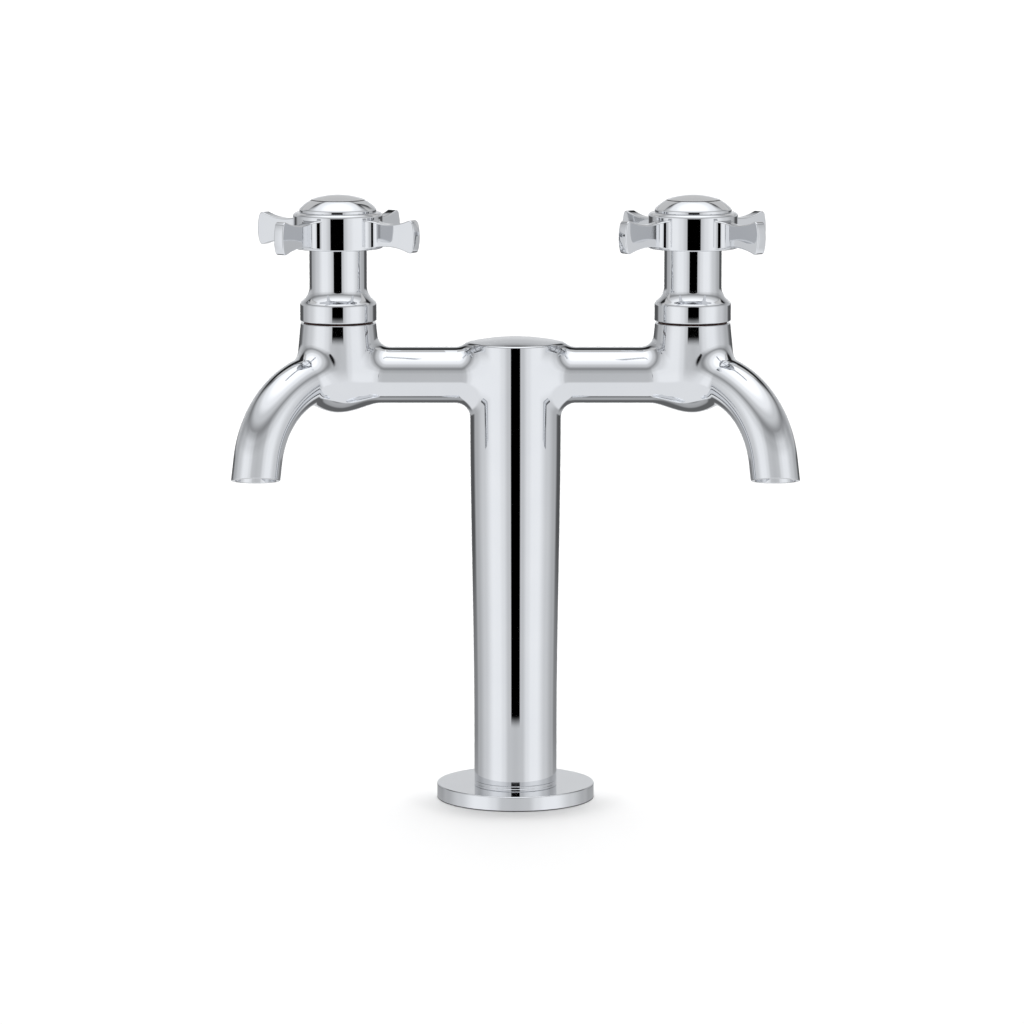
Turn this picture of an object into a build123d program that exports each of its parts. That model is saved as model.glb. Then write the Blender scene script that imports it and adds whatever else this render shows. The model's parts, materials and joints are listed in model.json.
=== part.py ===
from build123d import *
import math
import os

# Two-way pillar tap: one column and inlet, two compression valves with cross handles,
# and two fixed spouts. Millimetres and degrees. +Z is up, +X runs along the arms and
# -Y faces the user. The origin lies on the column's axis, in the deck's surface.

# Deck flange
flange_d = 60.0
flange_thickness = 5.7
flange_round = 0.5
land_height = 1.0
gasket_thickness = 1.2
gasket_margin = 3.0
gasket_hole_margin = 1.2

# Column
column_foot_d = 31.5
column_top_d = 34.4
column_top_above_arm = 12.4
column_dome = 1.9
column_flare_start_z = 27.0
column_flare_end_z = 150.0
column_wall = 3.2
column_crown = 3.6
column_round = 0.9
seam_round = 0.25

# Arms, and the fillets that run them into the column and the valve bodies
tap_spacing = 133.8
arm_z = 162.4
arm_d = 21.3
arm_wall = 2.8
arm_column_fillet = 5.5
arm_pot_fillet = 4.2

# Valve bodies: a tapered pot with a round bottom, bored for the headwork
rim_d = 28.5
rim_above_arm = 20.0
rim_round = 0.4
pot_d = 32.0
pot_centre_above_arm = 1.8
pot_wall = 3.2
mouth_thread_d = 20.955
mouth_thread_depth = 9.6
chamber_step = 0.5
seat_above_arm = 0.0
seat_bore_d = 11.0
seat_land_width = 1.7
seat_land_height = 1.5
diaphragm_thickness = 2.6
inlet_chamber_d = 18.0

# Spouts: straight root, bend, straight end, and a mouth cut that leans towards the user
spout_d = 18.3
spout_wall = 1.5
spout_plan_angle = 45.0
spout_root = 7.8
spout_bend_radius = 34.0
spout_bend_angle = 81.0
spout_end = 7.8
spout_pot_fillet = 4.6
mouth_lean = 14.0
mouth_round = 0.3
window_width = 10.0
window_height = 5.5

# Inlet shank and the fixing under the deck
shank_d = 20.955
shank_bore_d = 13.0
shank_mouth_d = 14.5
shank_mouth_depth = 15.0
shank_below_deck = 60.0
shank_in_column = 13.5
tail_thread_length = 20.0
tail_groove_width = 1.5
tail_groove_depth = 1.1
worktop_thickness = 20.0
shank_seal_height = 1.6
shank_seal_width = 2.6
deck_washer_d = 44.0
deck_washer_thickness = 2.0
clamp_washer_d = 40.0
clamp_washer_thickness = 2.0
backnut_flats = 27.0
backnut_height = 6.0
backnut_flange_d = 34.0
backnut_flange_height = 2.0

# Headwork body, screwed into the valve body's mouth
headwork_seal_d = 26.0
headwork_seal_thickness = 1.5
headwork_flats = 21.0
headwork_hex_height = 5.0
headwork_height = 23.4
headwork_thread_length = 8.6
headwork_nose_d = 18.4
guide_flats = 13.2

# Spindle, and the valve that its thread lifts
valve_lift = 4.0
journal_d = 10.0
collar_thickness = 2.6
thrust_washer_thickness = 0.6
lifting_thread_d = 9.0
thread_engagement = 4.0
guide_slack = 0.15
cup_d = 15.2
cup_height = 3.5
cup_rim_height = 1.5
carrier_round = 0.5
stem_height = 11.0
seat_washer_d = 13.6
seat_washer_thickness = 4.0
washer_screw_d = 3.0
washer_screw_length = 7.5
washer_screw_head_d = 5.5
washer_screw_head_height = 1.8
head_round = 0.5
o_ring_section = 1.5
o_ring_height = 9.0
o_ring_pitch = 4.5
o_ring_count = 2
circlip_d = 13.0
circlip_thickness = 0.9
circlip_depth = 0.75
circlip_opening = 50.0
spindle_square = 7.0
spindle_square_corner_d = 8.8
spindle_short = 0.5

# Bonnet shroud, screwed on the headwork's barrel
shroud_skirt_d = 28.9
shroud_neck_d = 21.7
shroud_wall = 1.0
shroud_seam = 0.7
shroud_corner_height = 6.9
shroud_flare_height = 2.9
shroud_shoulder_round = 2.0
shroud_neck_round = 6.4
shroud_round = 0.4

# Cross handle
hub_d = 33.8
hub_height = 13.5
hub_above_rim = 28.2
hub_top_round = 1.4
hub_bottom_round = 0.5
hub_recess_depth = 2.5
hub_recess_gap = 0.55
hub_web = 6.0
hub_socket_d = 18.0
hub_wall = 3.0
shroud_overlap = 1.0
handle_span = 73.8
paddle_thickness = 4.2
paddle_root_height = 10.8
paddle_waist_height = 9.1
paddle_tip_height = 13.3
paddle_waist_run = 3.4
paddle_drop = 0.85
paddle_tip_bulge = 1.3
paddle_corner_round = 1.6
paddle_root_fillet = 4.0
paddle_count = 4
left_handle_angle = 55.0
right_handle_angle = 42.0

# Handle cap and the screw under it
cap_base_d = 29.0
cap_land_height = 1.2
cap_rim_d = 19.8
cap_rim_height = 4.8
cap_side_bulge = 0.2
cap_crown = 1.7
cap_wall = 1.8
cap_spigot_depth = 2.8
cap_rim_round = 0.3
cap_land_round = 1.0
handle_screw_d = 4.0
handle_screw_length = 9.0
handle_screw_head_d = 11.0
handle_screw_head_height = 2.2

# Clearances on the radius: turned and screwed fits, loose holes, and seals in their bores
fit_gap = 0.05
hole_gap = 0.3
seal_gap = 0.02

# Places worked out from the sizes above. Heights in a tap count from its body's rim.
foot_z = flange_thickness + land_height
column_top_z = arm_z + column_top_above_arm
rim_z = arm_z + rim_above_arm
tap_x = tap_spacing / 2
shank_hole_r = shank_d / 2 + fit_gap
loose_shank_r = shank_d / 2 + hole_gap
arm_bore_r = arm_d / 2 - arm_wall
spout_bore_start = inlet_chamber_d / 2 + diaphragm_thickness
mouth_r = mouth_thread_d / 2
chamber_r = mouth_r - chamber_step
pot_centre = pot_centre_above_arm - rim_above_arm
seat = seat_above_arm - rim_above_arm
chamber_floor = seat - seat_land_height
inlet_chamber_top = chamber_floor - diaphragm_thickness
washer_top = seat + seat_washer_thickness
cup_bottom = washer_top - cup_rim_height
cup_top = cup_bottom + cup_height
nose_bottom = cup_top + valve_lift + hole_gap
stem_top = cup_top + stem_height
spindle_tip = stem_top - thread_engagement
collar_bottom = stem_top + valve_lift + hole_gap
collar_top = collar_bottom + collar_thickness
shoulder = collar_top + thrust_washer_thickness + fit_gap
collar_r = guide_flats / 2 - hole_gap
journal_r = journal_d / 2
groove_r = journal_r + fit_gap - seal_gap - o_ring_section - seal_gap
circlip_groove_r = journal_r - circlip_depth
circlip_bottom = headwork_height + fit_gap
circlip_top = circlip_bottom + circlip_thickness
journal_top = circlip_top + circlip_depth
barrel_r = shroud_neck_d / 2 - shroud_wall - fit_gap
web_bottom = hub_above_rim + hub_recess_depth
web_top = web_bottom + hub_web
hub_top = hub_above_rim + hub_height
shroud_top = hub_above_rim + shroud_overlap
spindle_top = web_top - spindle_short


def turned(*outline, rounds=()):
    """A ring or disc turned about +Z from its half outline of (radius, height) points."""
    face = make_face(Polyline(*outline, close=True))
    for corner, radius in rounds:
        face = fillet(face.vertices().sort_by_distance(corner)[0], radius)
    return revolve(Plane.XZ * face, axis=Axis.Z)


def tube(outer_r, inner_r, bottom, top):
    """A plain ring between two heights."""
    return turned((inner_r, bottom), (outer_r, bottom), (outer_r, top), (inner_r, top))


def hexagon(flats, bottom, top):
    """A hexagonal prism with the given width across its flats."""
    outline = RegularPolygon(flats / 2, 6, major_radius=False)
    return extrude(Plane.XY.offset(bottom) * outline, amount=top - bottom)


def at_tap(side, shape, angle=0):
    """Carry a shape made about its own axis, with height 0 at the body's rim, to a tap."""
    return Location((side * tap_x, 0, rim_z), (0, 0, angle)) * shape


# Body casting


def column_blank(extra):
    """The column's outside, run on past its top so that the arms' fillets have a wall."""
    foot_r = column_foot_d / 2
    top_r = column_top_d / 2
    start = (foot_r, column_flare_start_z)
    end = (top_r, column_flare_end_z)
    top = column_top_z + extra
    flare = Spline(start, end, tangents=[(0, 1), (0, 1)])
    rest = Polyline(end, (top_r, top), (0, top), (0, foot_z), (foot_r, foot_z), start)
    half = make_face(flare + rest)
    half = fillet(half.vertices().sort_by_distance((foot_r, foot_z))[0], seam_round)
    return revolve(Plane.XZ * half, axis=Axis.Z)


def arm_start(side):
    """The upright plane on the column's axis that an arm and its bore grow from."""
    return Plane((0, 0, arm_z), x_dir=(0, 1, 0), z_dir=(side, 0, 0))


def pot_blank(side):
    """A valve body's outside: a cone from the rim that runs into a round bottom."""
    pot_r = pot_d / 2
    rim_r = rim_d / 2
    touch = math.atan2(-pot_centre, rim_r) - math.acos(pot_r / math.hypot(rim_r, pot_centre))
    middle = (touch - math.pi / 2) / 2
    touch_point = (pot_r * math.cos(touch), pot_centre + pot_r * math.sin(touch))
    middle_point = (pot_r * math.cos(middle), pot_centre + pot_r * math.sin(middle))
    bottom_point = (0, pot_centre - pot_r)
    wall = Polyline(bottom_point, (0, 0), (rim_r, 0), touch_point)
    round_bottom = ThreePointArc(touch_point, middle_point, bottom_point)
    half = make_face(wall + round_bottom)
    half = fillet(half.vertices().sort_by_distance((rim_r, 0))[0], rim_round)
    return at_tap(side, revolve(Plane.XZ * half, axis=Axis.Z))


def outward(side):
    """The level direction that a spout points in: outwards and towards the user."""
    plan = math.radians(spout_plan_angle)
    return Vector(side * math.cos(plan), -math.sin(plan), 0)


def spout_rod(side, radius, start, extra):
    """A round rod on a spout's centre line, from near the tap's axis to past the mouth."""
    skipped = math.degrees(math.asin(max(start - spout_root, 0) / spout_bend_radius))
    fall = math.radians(spout_bend_angle)
    run = spout_end + extra
    centre = (spout_root, -spout_bend_radius)
    path = CenterArc(centre, spout_bend_radius, 90 - skipped, skipped - spout_bend_angle)
    bend_end = path @ 1
    tip = (bend_end.X + run * math.cos(fall), bend_end.Y - run * math.sin(fall))
    path += Line(bend_end, tip)
    if start < spout_root:
        path = Line((start, 0), (spout_root, 0)) + path
    away = outward(side)
    path = Plane((side * tap_x, 0, arm_z), x_dir=away, z_dir=away.cross(Vector(0, 0, 1))) * path
    return sweep(Plane(path @ 0, z_dir=path % 0) * Circle(radius), path=path)


def mouth_centre(side):
    """The centre of a spout's outlet."""
    fall = math.radians(spout_bend_angle)
    out = spout_root + spout_bend_radius * math.sin(fall) + spout_end * math.cos(fall)
    down = spout_bend_radius * (1 - math.cos(fall)) + spout_end * math.sin(fall)
    return Vector(side * tap_x, 0, arm_z - down) + outward(side) * out


def mouth_cutter(side):
    """What lies past a spout's mouth: a block whose face leans towards the user."""
    lean = math.radians(mouth_lean)
    facing = (0, -math.sin(lean), -math.cos(lean))
    face = Plane(mouth_centre(side), x_dir=(1, 0, 0), z_dir=facing)
    return extrude(face * Rectangle(2 * spout_d, 2 * spout_d), amount=2 * spout_d)


def column_bore():
    """The column's waterway, over the tapped socket for the shank."""
    foot_r = column_foot_d / 2 - column_wall
    top_r = column_top_d / 2 - column_wall
    seal_r = shank_d / 2 + shank_seal_width
    seal_top = foot_z + shank_seal_height
    socket_top = foot_z + shank_in_column + column_wall
    crown = column_top_z - column_crown
    return turned(
        (0, foot_z),
        (seal_r, foot_z),
        (seal_r, seal_top),
        (shank_hole_r, seal_top),
        (shank_hole_r, socket_top),
        (foot_r, socket_top + foot_r - shank_hole_r),
        (foot_r, column_flare_start_z),
        (top_r, column_flare_end_z),
        (top_r, crown),
        (0, crown),
        rounds=[((top_r, crown), column_wall)],
    )


def arm_bore(side):
    """An arm's waterway, from the column's bore to just short of the outlet chamber."""
    length = tap_x - chamber_r - diaphragm_thickness
    return extrude(arm_start(side) * Circle(arm_bore_r), amount=length)


def inlet_passage(side):
    """The lowest part of the arm's bore, which runs on under the seat."""
    top = rim_above_arm + inlet_chamber_top
    below = Pos(0, top - arm_bore_r) * Rectangle(2 * arm_bore_r, 2 * arm_bore_r)
    slot = Circle(arm_bore_r) & below
    start = Plane((side * tap_x, 0, arm_z), x_dir=(0, -side, 0), z_dir=(-side, 0, 0))
    return extrude(start * slot, amount=inlet_chamber_d)


def outlet_window(side):
    """The slot over the seat that leads from the outlet chamber into the spout."""
    height = seat_above_arm + seat_land_height + window_height / 2
    slot = SlotOverall(window_width, window_height, rotation=90)
    start = Plane((side * tap_x, 0, arm_z + height), x_dir=(0, 0, 1), z_dir=outward(side))
    return extrude(start * slot, amount=spout_bore_start + spout_wall)


def valve_cavity(side):
    """The tapped mouth, outlet chamber, seat bore and inlet chamber of a valve body."""
    seat_r = seat_bore_d / 2
    inlet_r = inlet_chamber_d / 2
    inlet_bottom = pot_centre - pot_d / 2 + pot_wall
    inlet_round = (inlet_chamber_top - inlet_bottom) / 2
    cavity = turned(
        (0, 0),
        (mouth_r, 0),
        (mouth_r, -mouth_thread_depth),
        (chamber_r, -mouth_thread_depth - chamber_step),
        (chamber_r, chamber_floor),
        (seat_r + seat_land_width, chamber_floor),
        (seat_r + seat_land_width, seat),
        (seat_r, seat),
        (seat_r, inlet_chamber_top),
        (inlet_r, inlet_chamber_top),
        (inlet_r, inlet_bottom),
        (0, inlet_bottom),
        rounds=[((inlet_r, inlet_bottom), inlet_round)],
    )
    return at_tap(side, cavity)


def blended(body, addition, radius):
    """Join an addition to the casting and run a fillet along the seam between them."""
    joined = body + addition
    return fillet(new_edges(body, addition, combined=joined), radius)


def tap_body():
    """The casting: column, arms, valve bodies and spouts blended into one, then bored."""
    extra = 2 * arm_column_fillet
    body = column_blank(extra)
    for side in (-1, 1):
        arm = extrude(arm_start(side) * Circle(arm_d / 2), amount=tap_x)
        body = blended(body, arm, arm_column_fillet)
    top_r = column_top_d / 2
    dome_r = (top_r ** 2 + column_dome ** 2) / (2 * column_dome)
    over_top = Pos(0, 0, column_top_z) * Cylinder(top_r + arm_column_fillet, 2 * extra)
    body -= over_top - Pos(0, 0, column_top_z + column_dome - dome_r) * Sphere(dome_r)
    body = fillet(body.faces().sort_by(Axis.Z)[-1].outer_wire().edges(), column_round)
    for side in (-1, 1):
        body = blended(body, pot_blank(side), arm_pot_fillet)
        spout = spout_rod(side, spout_d / 2, 0, spout_end)
        body = blended(body, spout, spout_pot_fillet) - mouth_cutter(side)
        mouth = body.faces().sort_by_distance(mouth_centre(side))[0]
        body = fillet(mouth.outer_wire().edges(), mouth_round)
    bores = [column_bore()]
    for side in (-1, 1):
        bores.append(arm_bore(side))
        bores.append(inlet_passage(side))
        bores.append(outlet_window(side))
        bores.append(spout_rod(side, spout_d / 2 - spout_wall, spout_bore_start, 2 * spout_end))
        bores.append(valve_cavity(side))
    return body - bores


# Deck flange, inlet shank and fixing


def base_flange():
    """The round plate on the deck, with a land for the column and a groove for its gasket."""
    flange_r = flange_d / 2
    land_r = column_foot_d / 2
    groove_inner_r = loose_shank_r + gasket_hole_margin
    groove_outer_r = flange_r - gasket_margin
    return turned(
        (loose_shank_r, 0),
        (groove_inner_r, 0),
        (groove_inner_r, gasket_thickness),
        (groove_outer_r, gasket_thickness),
        (groove_outer_r, 0),
        (flange_r, 0),
        (flange_r, flange_thickness),
        (land_r, flange_thickness),
        (land_r, foot_z),
        (loose_shank_r, foot_z),
        rounds=[
            ((flange_r, 0), seam_round),
            ((flange_r, flange_thickness), flange_round),
            ((land_r, foot_z), seam_round),
        ],
    )


def base_gasket():
    """The flat rubber ring that lies flush in the flange's groove."""
    outer_r = flange_d / 2 - gasket_margin - fit_gap
    inner_r = loose_shank_r + gasket_hole_margin + fit_gap
    return tube(outer_r, inner_r, 0, gasket_thickness)


def shank_seal():
    """The ring in the column's foot that seals the socket against the flange."""
    outer_r = shank_d / 2 + shank_seal_width - fit_gap
    return tube(outer_r, shank_hole_r, foot_z, foot_z + shank_seal_height)


def inlet_shank():
    """The threaded tail: screwed into the column, with a relief over the supply's thread."""
    r = shank_d / 2
    bore_r = shank_bore_d / 2
    mouth = shank_mouth_d / 2
    bottom = -shank_below_deck
    thread_end = bottom + tail_thread_length
    groove_top = thread_end + tail_groove_width
    chamfer = tail_groove_depth / 2
    return turned(
        (bore_r, foot_z + shank_in_column),
        (bore_r, bottom + shank_mouth_depth),
        (mouth, bottom + shank_mouth_depth),
        (mouth, bottom),
        (r - chamfer, bottom),
        (r, bottom + chamfer),
        (r, thread_end),
        (r - tail_groove_depth, thread_end),
        (r - tail_groove_depth, groove_top),
        (r, groove_top),
        (r, foot_z + shank_in_column),
    )


def deck_washer():
    """The rubber washer against the worktop's underside."""
    top = -worktop_thickness
    return tube(deck_washer_d / 2, loose_shank_r, top - deck_washer_thickness, top)


def clamp_washer():
    """The steel washer that spreads the backnut's load."""
    top = -worktop_thickness - deck_washer_thickness
    return tube(clamp_washer_d / 2, loose_shank_r, top - clamp_washer_thickness, top)


def backnut():
    """The flanged hexagonal nut that pulls the tap down on the worktop."""
    top = -worktop_thickness - deck_washer_thickness - clamp_washer_thickness
    waist = top - backnut_flange_height
    flange = tube(backnut_flange_d / 2, shank_hole_r, waist, top)
    nut = hexagon(backnut_flats, waist - backnut_height, waist)
    hole = Pos(0, 0, waist) * Cylinder(shank_hole_r, 4 * backnut_height)
    return flange + (nut - hole)


# Headwork: everything here is made about the tap's axis, with the body's rim at height 0


def headwork_body():
    """The brass body: thread and nose, hexagon, barrel, spindle bore and hexagonal guide."""
    thread_r = mouth_r - fit_gap
    hex_top = headwork_seal_thickness + headwork_hex_height
    bevel = hole_gap
    body = turned(
        (0, nose_bottom),
        (headwork_nose_d / 2, nose_bottom),
        (headwork_nose_d / 2, -headwork_thread_length),
        (thread_r, -headwork_thread_length),
        (thread_r, hex_top),
        (barrel_r, hex_top),
        (barrel_r, headwork_height - bevel),
        (barrel_r - bevel, headwork_height),
        (0, headwork_height),
    )
    body += hexagon(headwork_flats, headwork_seal_thickness, hex_top)
    body -= hexagon(guide_flats, nose_bottom, shoulder)
    return body - Pos(0, 0, shoulder) * Cylinder(journal_r + fit_gap, 2 * headwork_height)


def headwork_seal():
    """The flat ring under the headwork's hexagon."""
    return tube(headwork_seal_d / 2, mouth_r, 0, headwork_seal_thickness)


def spindle():
    """Lifting thread, collar, journal with its grooves, and the square for the handle."""
    thread_r = lifting_thread_d / 2
    tip_chamfer = hole_gap
    shaft = turned(
        (0, spindle_tip),
        (thread_r - tip_chamfer, spindle_tip),
        (thread_r, spindle_tip + tip_chamfer),
        (thread_r, collar_bottom),
        (collar_r, collar_bottom),
        (collar_r, collar_top),
        (journal_r, collar_top),
        (journal_r, journal_top),
        (0, journal_top),
    )
    for height in o_ring_heights():
        half_width = o_ring_section / 2 + hole_gap
        shaft -= tube(2 * journal_r, groove_r, height - half_width, height + half_width)
    shaft -= tube(2 * journal_r, circlip_groove_r, circlip_bottom, circlip_top)
    square_height = spindle_top - journal_top
    square = Rectangle(spindle_square, spindle_square) & Circle(spindle_square_corner_d / 2)
    shaft += extrude(Plane.XY.offset(journal_top) * square, amount=square_height)
    screw_depth = handle_screw_length - spindle_short + hole_gap
    screw_hole = Cylinder(handle_screw_d / 2 + fit_gap, 2 * screw_depth)
    return shaft - Pos(0, 0, spindle_top) * screw_hole


def o_ring_heights():
    """The heights of the O-rings' centres on the spindle."""
    return [o_ring_height + o_ring_pitch * n for n in range(o_ring_count)]


def spindle_o_rings():
    """The rubber rings that seal the spindle in the headwork."""
    section_r = o_ring_section / 2
    centre_r = journal_r + fit_gap - seal_gap - section_r
    ring = Torus(centre_r, section_r)
    return Compound(children=[Pos(0, 0, height) * ring for height in o_ring_heights()])


def thrust_washer():
    """The slippery ring between the spindle's collar and the headwork's shoulder."""
    return tube(collar_r, journal_r + fit_gap, collar_top, collar_top + thrust_washer_thickness)


def spindle_circlip():
    """The open spring ring that hangs the spindle on the headwork's top."""
    outer_r = circlip_d / 2
    ring = tube(outer_r, circlip_groove_r + seal_gap, circlip_bottom, circlip_top)
    half_gap = outer_r * math.tan(math.radians(circlip_opening / 2))
    wedge = make_face(Polyline((0, 0), (outer_r, half_gap), (outer_r, -half_gap), close=True))
    return ring - extrude(Plane.XY.offset(circlip_bottom) * wedge, amount=circlip_thickness)


def valve_carrier():
    """The jumper: a cup for the washer on a hexagonal stem that the spindle's thread lifts."""
    cup_r = cup_d / 2
    washer_r = seat_washer_d / 2 + fit_gap
    thread_r = lifting_thread_d / 2 + fit_gap
    bore_bottom = spindle_tip - valve_lift - hole_gap
    cup = turned(
        (0, washer_top),
        (washer_r, washer_top),
        (washer_r, cup_bottom),
        (cup_r, cup_bottom),
        (cup_r, cup_top),
        (0, cup_top),
        rounds=[((cup_r, cup_top), carrier_round)],
    )
    carrier = cup + hexagon(guide_flats - 2 * guide_slack, cup_top, stem_top)
    bore_depth = stem_top - bore_bottom
    carrier -= Pos(0, 0, stem_top) * Cylinder(thread_r, 2 * bore_depth)
    screw_depth = washer_screw_length - seat_washer_thickness + hole_gap
    screw_hole = Cylinder(washer_screw_d / 2 + fit_gap, 2 * screw_depth)
    return carrier - Pos(0, 0, washer_top) * screw_hole


def seat_washer():
    """The rubber washer that closes the seat."""
    outer_r = seat_washer_d / 2
    hole_r = washer_screw_d / 2 + fit_gap
    return turned(
        (hole_r, seat),
        (outer_r, seat),
        (outer_r, washer_top),
        (hole_r, washer_top),
        rounds=[((outer_r, seat), seam_round)],
    )


def washer_screw():
    """The small screw that holds the washer in its cup."""
    screw_r = washer_screw_d / 2
    head_r = washer_screw_head_d / 2
    head_bottom = seat - washer_screw_head_height
    return turned(
        (0, head_bottom),
        (head_r, head_bottom),
        (head_r, seat),
        (screw_r, seat),
        (screw_r, seat + washer_screw_length),
        (0, seat + washer_screw_length),
        rounds=[((head_r, head_bottom), head_round)],
    )


# Bonnet shroud, cross handle and cap, about the tap's axis too


def bonnet_shroud():
    """The thin bell that hides the headwork: a skirt that sweeps in to a neck."""
    skirt_r = shroud_skirt_d / 2
    neck_r = shroud_neck_d / 2
    shoulder_height = shroud_seam + shroud_corner_height
    neck_height = shoulder_height + shroud_flare_height
    outside = FilletPolyline(
        (skirt_r, shroud_seam),
        (skirt_r, shoulder_height),
        (neck_r, neck_height),
        (neck_r, shroud_top),
        radius=[shroud_shoulder_round, shroud_neck_round],
    )
    half = make_face(offset(outside, shroud_wall, side=Side.LEFT))
    for end in ((skirt_r, shroud_seam), (neck_r, shroud_top)):
        half = fillet(half.vertices().sort_by_distance(end)[0], shroud_round)
    return revolve(Plane.XZ * half, axis=Axis.Z)


def handle_hub():
    """The hub: a recess over the shroud's neck, a web on the spindle, and the cap's socket."""
    hub_r = hub_d / 2
    recess_r = shroud_neck_d / 2 + hub_recess_gap
    socket_r = hub_socket_d / 2
    return turned(
        (0, web_bottom),
        (recess_r, web_bottom),
        (recess_r, hub_above_rim),
        (hub_r, hub_above_rim),
        (hub_r, hub_top),
        (socket_r, hub_top),
        (socket_r, web_top),
        (0, web_top),
        rounds=[((hub_r, hub_above_rim), hub_bottom_round), ((hub_r, hub_top), hub_top_round)],
    )


def paddles():
    """The four paddles: a star in plan, cut to a side outline that flares to each tip."""
    hub_r = hub_d / 2
    tip_r = handle_span / 2
    inner_r = hub_r - hub_wall
    waist_r = hub_r + paddle_waist_run
    corner_r = tip_r - paddle_tip_bulge
    middle = hub_above_rim + hub_height / 2 - paddle_drop
    root = paddle_root_height / 2
    waist = paddle_waist_height / 2
    tip = paddle_tip_height / 2
    upper = Spline((hub_r, root), (waist_r, waist), (corner_r, tip))
    lower = Spline((hub_r, -root), (waist_r, -waist), (corner_r, -tip))
    end = ThreePointArc((corner_r, tip), (tip_r, 0), (corner_r, -tip))
    inside = Polyline((hub_r, root), (inner_r, root), (inner_r, -root), (hub_r, -root))
    half = make_face(upper + end + lower + inside)
    for corner in ((corner_r, tip), (corner_r, -tip)):
        half = fillet(half.vertices().sort_by_distance(corner)[0], paddle_corner_round)
    ring = Pos(0, 0, middle) * revolve(Plane.XZ * half, axis=Axis.Z)
    arm = Rectangle(2 * handle_span, paddle_thickness)
    star = Circle(hub_r) + [Rot(0, 0, 360 / paddle_count * n) * arm for n in range(paddle_count)]
    corners = star.vertices().filter_by(lambda corner: corner.center().length < waist_r)
    star = fillet(corners, paddle_root_fillet)
    return ring & extrude(Plane.XY.offset(middle) * star, amount=tip_r, both=True)


def cross_handle():
    """The handle: the hub with its square socket, and the paddles."""
    square = spindle_square + 2 * fit_gap
    corner = spindle_square_corner_d / 2 + fit_gap
    socket = Rectangle(square, square) & Circle(corner)
    handle = handle_hub() + paddles()
    return handle - extrude(Plane.XY.offset(web_bottom) * socket, amount=hub_web)


def handle_screw():
    """The screw that clamps the handle's web on the spindle, under the cap."""
    screw_r = handle_screw_d / 2
    head_r = handle_screw_head_d / 2
    head_top = web_top + handle_screw_head_height
    return turned(
        (0, web_top - handle_screw_length),
        (screw_r, web_top - handle_screw_length),
        (screw_r, web_top),
        (head_r, web_top),
        (head_r, head_top),
        (0, head_top),
        rounds=[((head_r, head_top), head_round)],
    )


def handle_cap():
    """The turned cap that plugs the hub: a land, a sloping side, a rim and a low crown."""
    base_r = cap_base_d / 2
    rim_r = cap_rim_d / 2
    rim = hub_top + cap_rim_height
    land_top = (base_r, hub_top + cap_land_height)
    side_line = Line(land_top, (rim_r, rim))
    side_middle = side_line @ 0.5 + Vector(cap_side_bulge, cap_side_bulge)
    side = ThreePointArc(land_top, side_middle, (rim_r, rim))
    crown_r = (rim_r ** 2 + cap_crown ** 2) / (2 * cap_crown)
    crown = RadiusArc((rim_r, rim), (0, rim + cap_crown), -crown_r)
    spigot_r = hub_socket_d / 2 - fit_gap
    bore_r = spigot_r - cap_wall
    foot = hub_top - cap_spigot_depth
    bore_top = rim - cap_wall
    inside = Polyline(
        (0, rim + cap_crown),
        (0, bore_top),
        (bore_r, bore_top),
        (bore_r, foot),
        (spigot_r, foot),
        (spigot_r, hub_top),
        (base_r, hub_top),
        land_top,
    )
    half = make_face(side + crown + inside)
    half = fillet(half.vertices().sort_by_distance((rim_r, rim))[0], cap_rim_round)
    half = fillet(half.vertices().sort_by_distance(land_top)[0], cap_land_round)
    return revolve(Plane.XZ * half, axis=Axis.Z)


def build():
    """Make every piece once, and write each to its own file."""
    nodes = {
        "tap_body": tap_body(),
        "base_flange": base_flange(),
        "base_gasket": base_gasket(),
        "shank_seal": shank_seal(),
        "inlet_shank": inlet_shank(),
        "deck_washer": deck_washer(),
        "clamp_washer": clamp_washer(),
        "backnut": backnut(),
    }
    still = {
        "headwork_body": headwork_body(),
        "headwork_seal": headwork_seal(),
        "bonnet_shroud": bonnet_shroud(),
        "valve_carrier": valve_carrier(),
        "seat_washer": seat_washer(),
        "washer_screw": washer_screw(),
    }
    turning = {
        "spindle": spindle(),
        "spindle_o_rings": spindle_o_rings(),
        "thrust_washer": thrust_washer(),
        "spindle_circlip": spindle_circlip(),
        "cross_handle": cross_handle(),
        "handle_screw": handle_screw(),
        "handle_cap": handle_cap(),
    }
    for tap, side, angle in (("left", -1, left_handle_angle), ("right", 1, right_handle_angle)):
        for piece, shape in still.items():
            nodes[f"{tap}_{piece}"] = at_tap(side, shape)
        for piece, shape in turning.items():
            nodes[f"{tap}_{piece}"] = at_tap(side, shape, angle)
    os.makedirs("parts", exist_ok=True)
    for name, shape in nodes.items():
        export_step(shape, f"parts/{name}.step")


build()
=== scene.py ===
# %% [markdown]
# # A chromed pillar tap
#
# The object is a kitchen tap with two valves on one pillar. Its CAD model is loaded as a fixed
# frame: every solid is already in place, in metres, with the deck's surface at height 0. This
# lesson gives each visible piece a finer surface and each finish its material, and then sets up
# the floor, the light and the camera of a plain studio picture.

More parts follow.
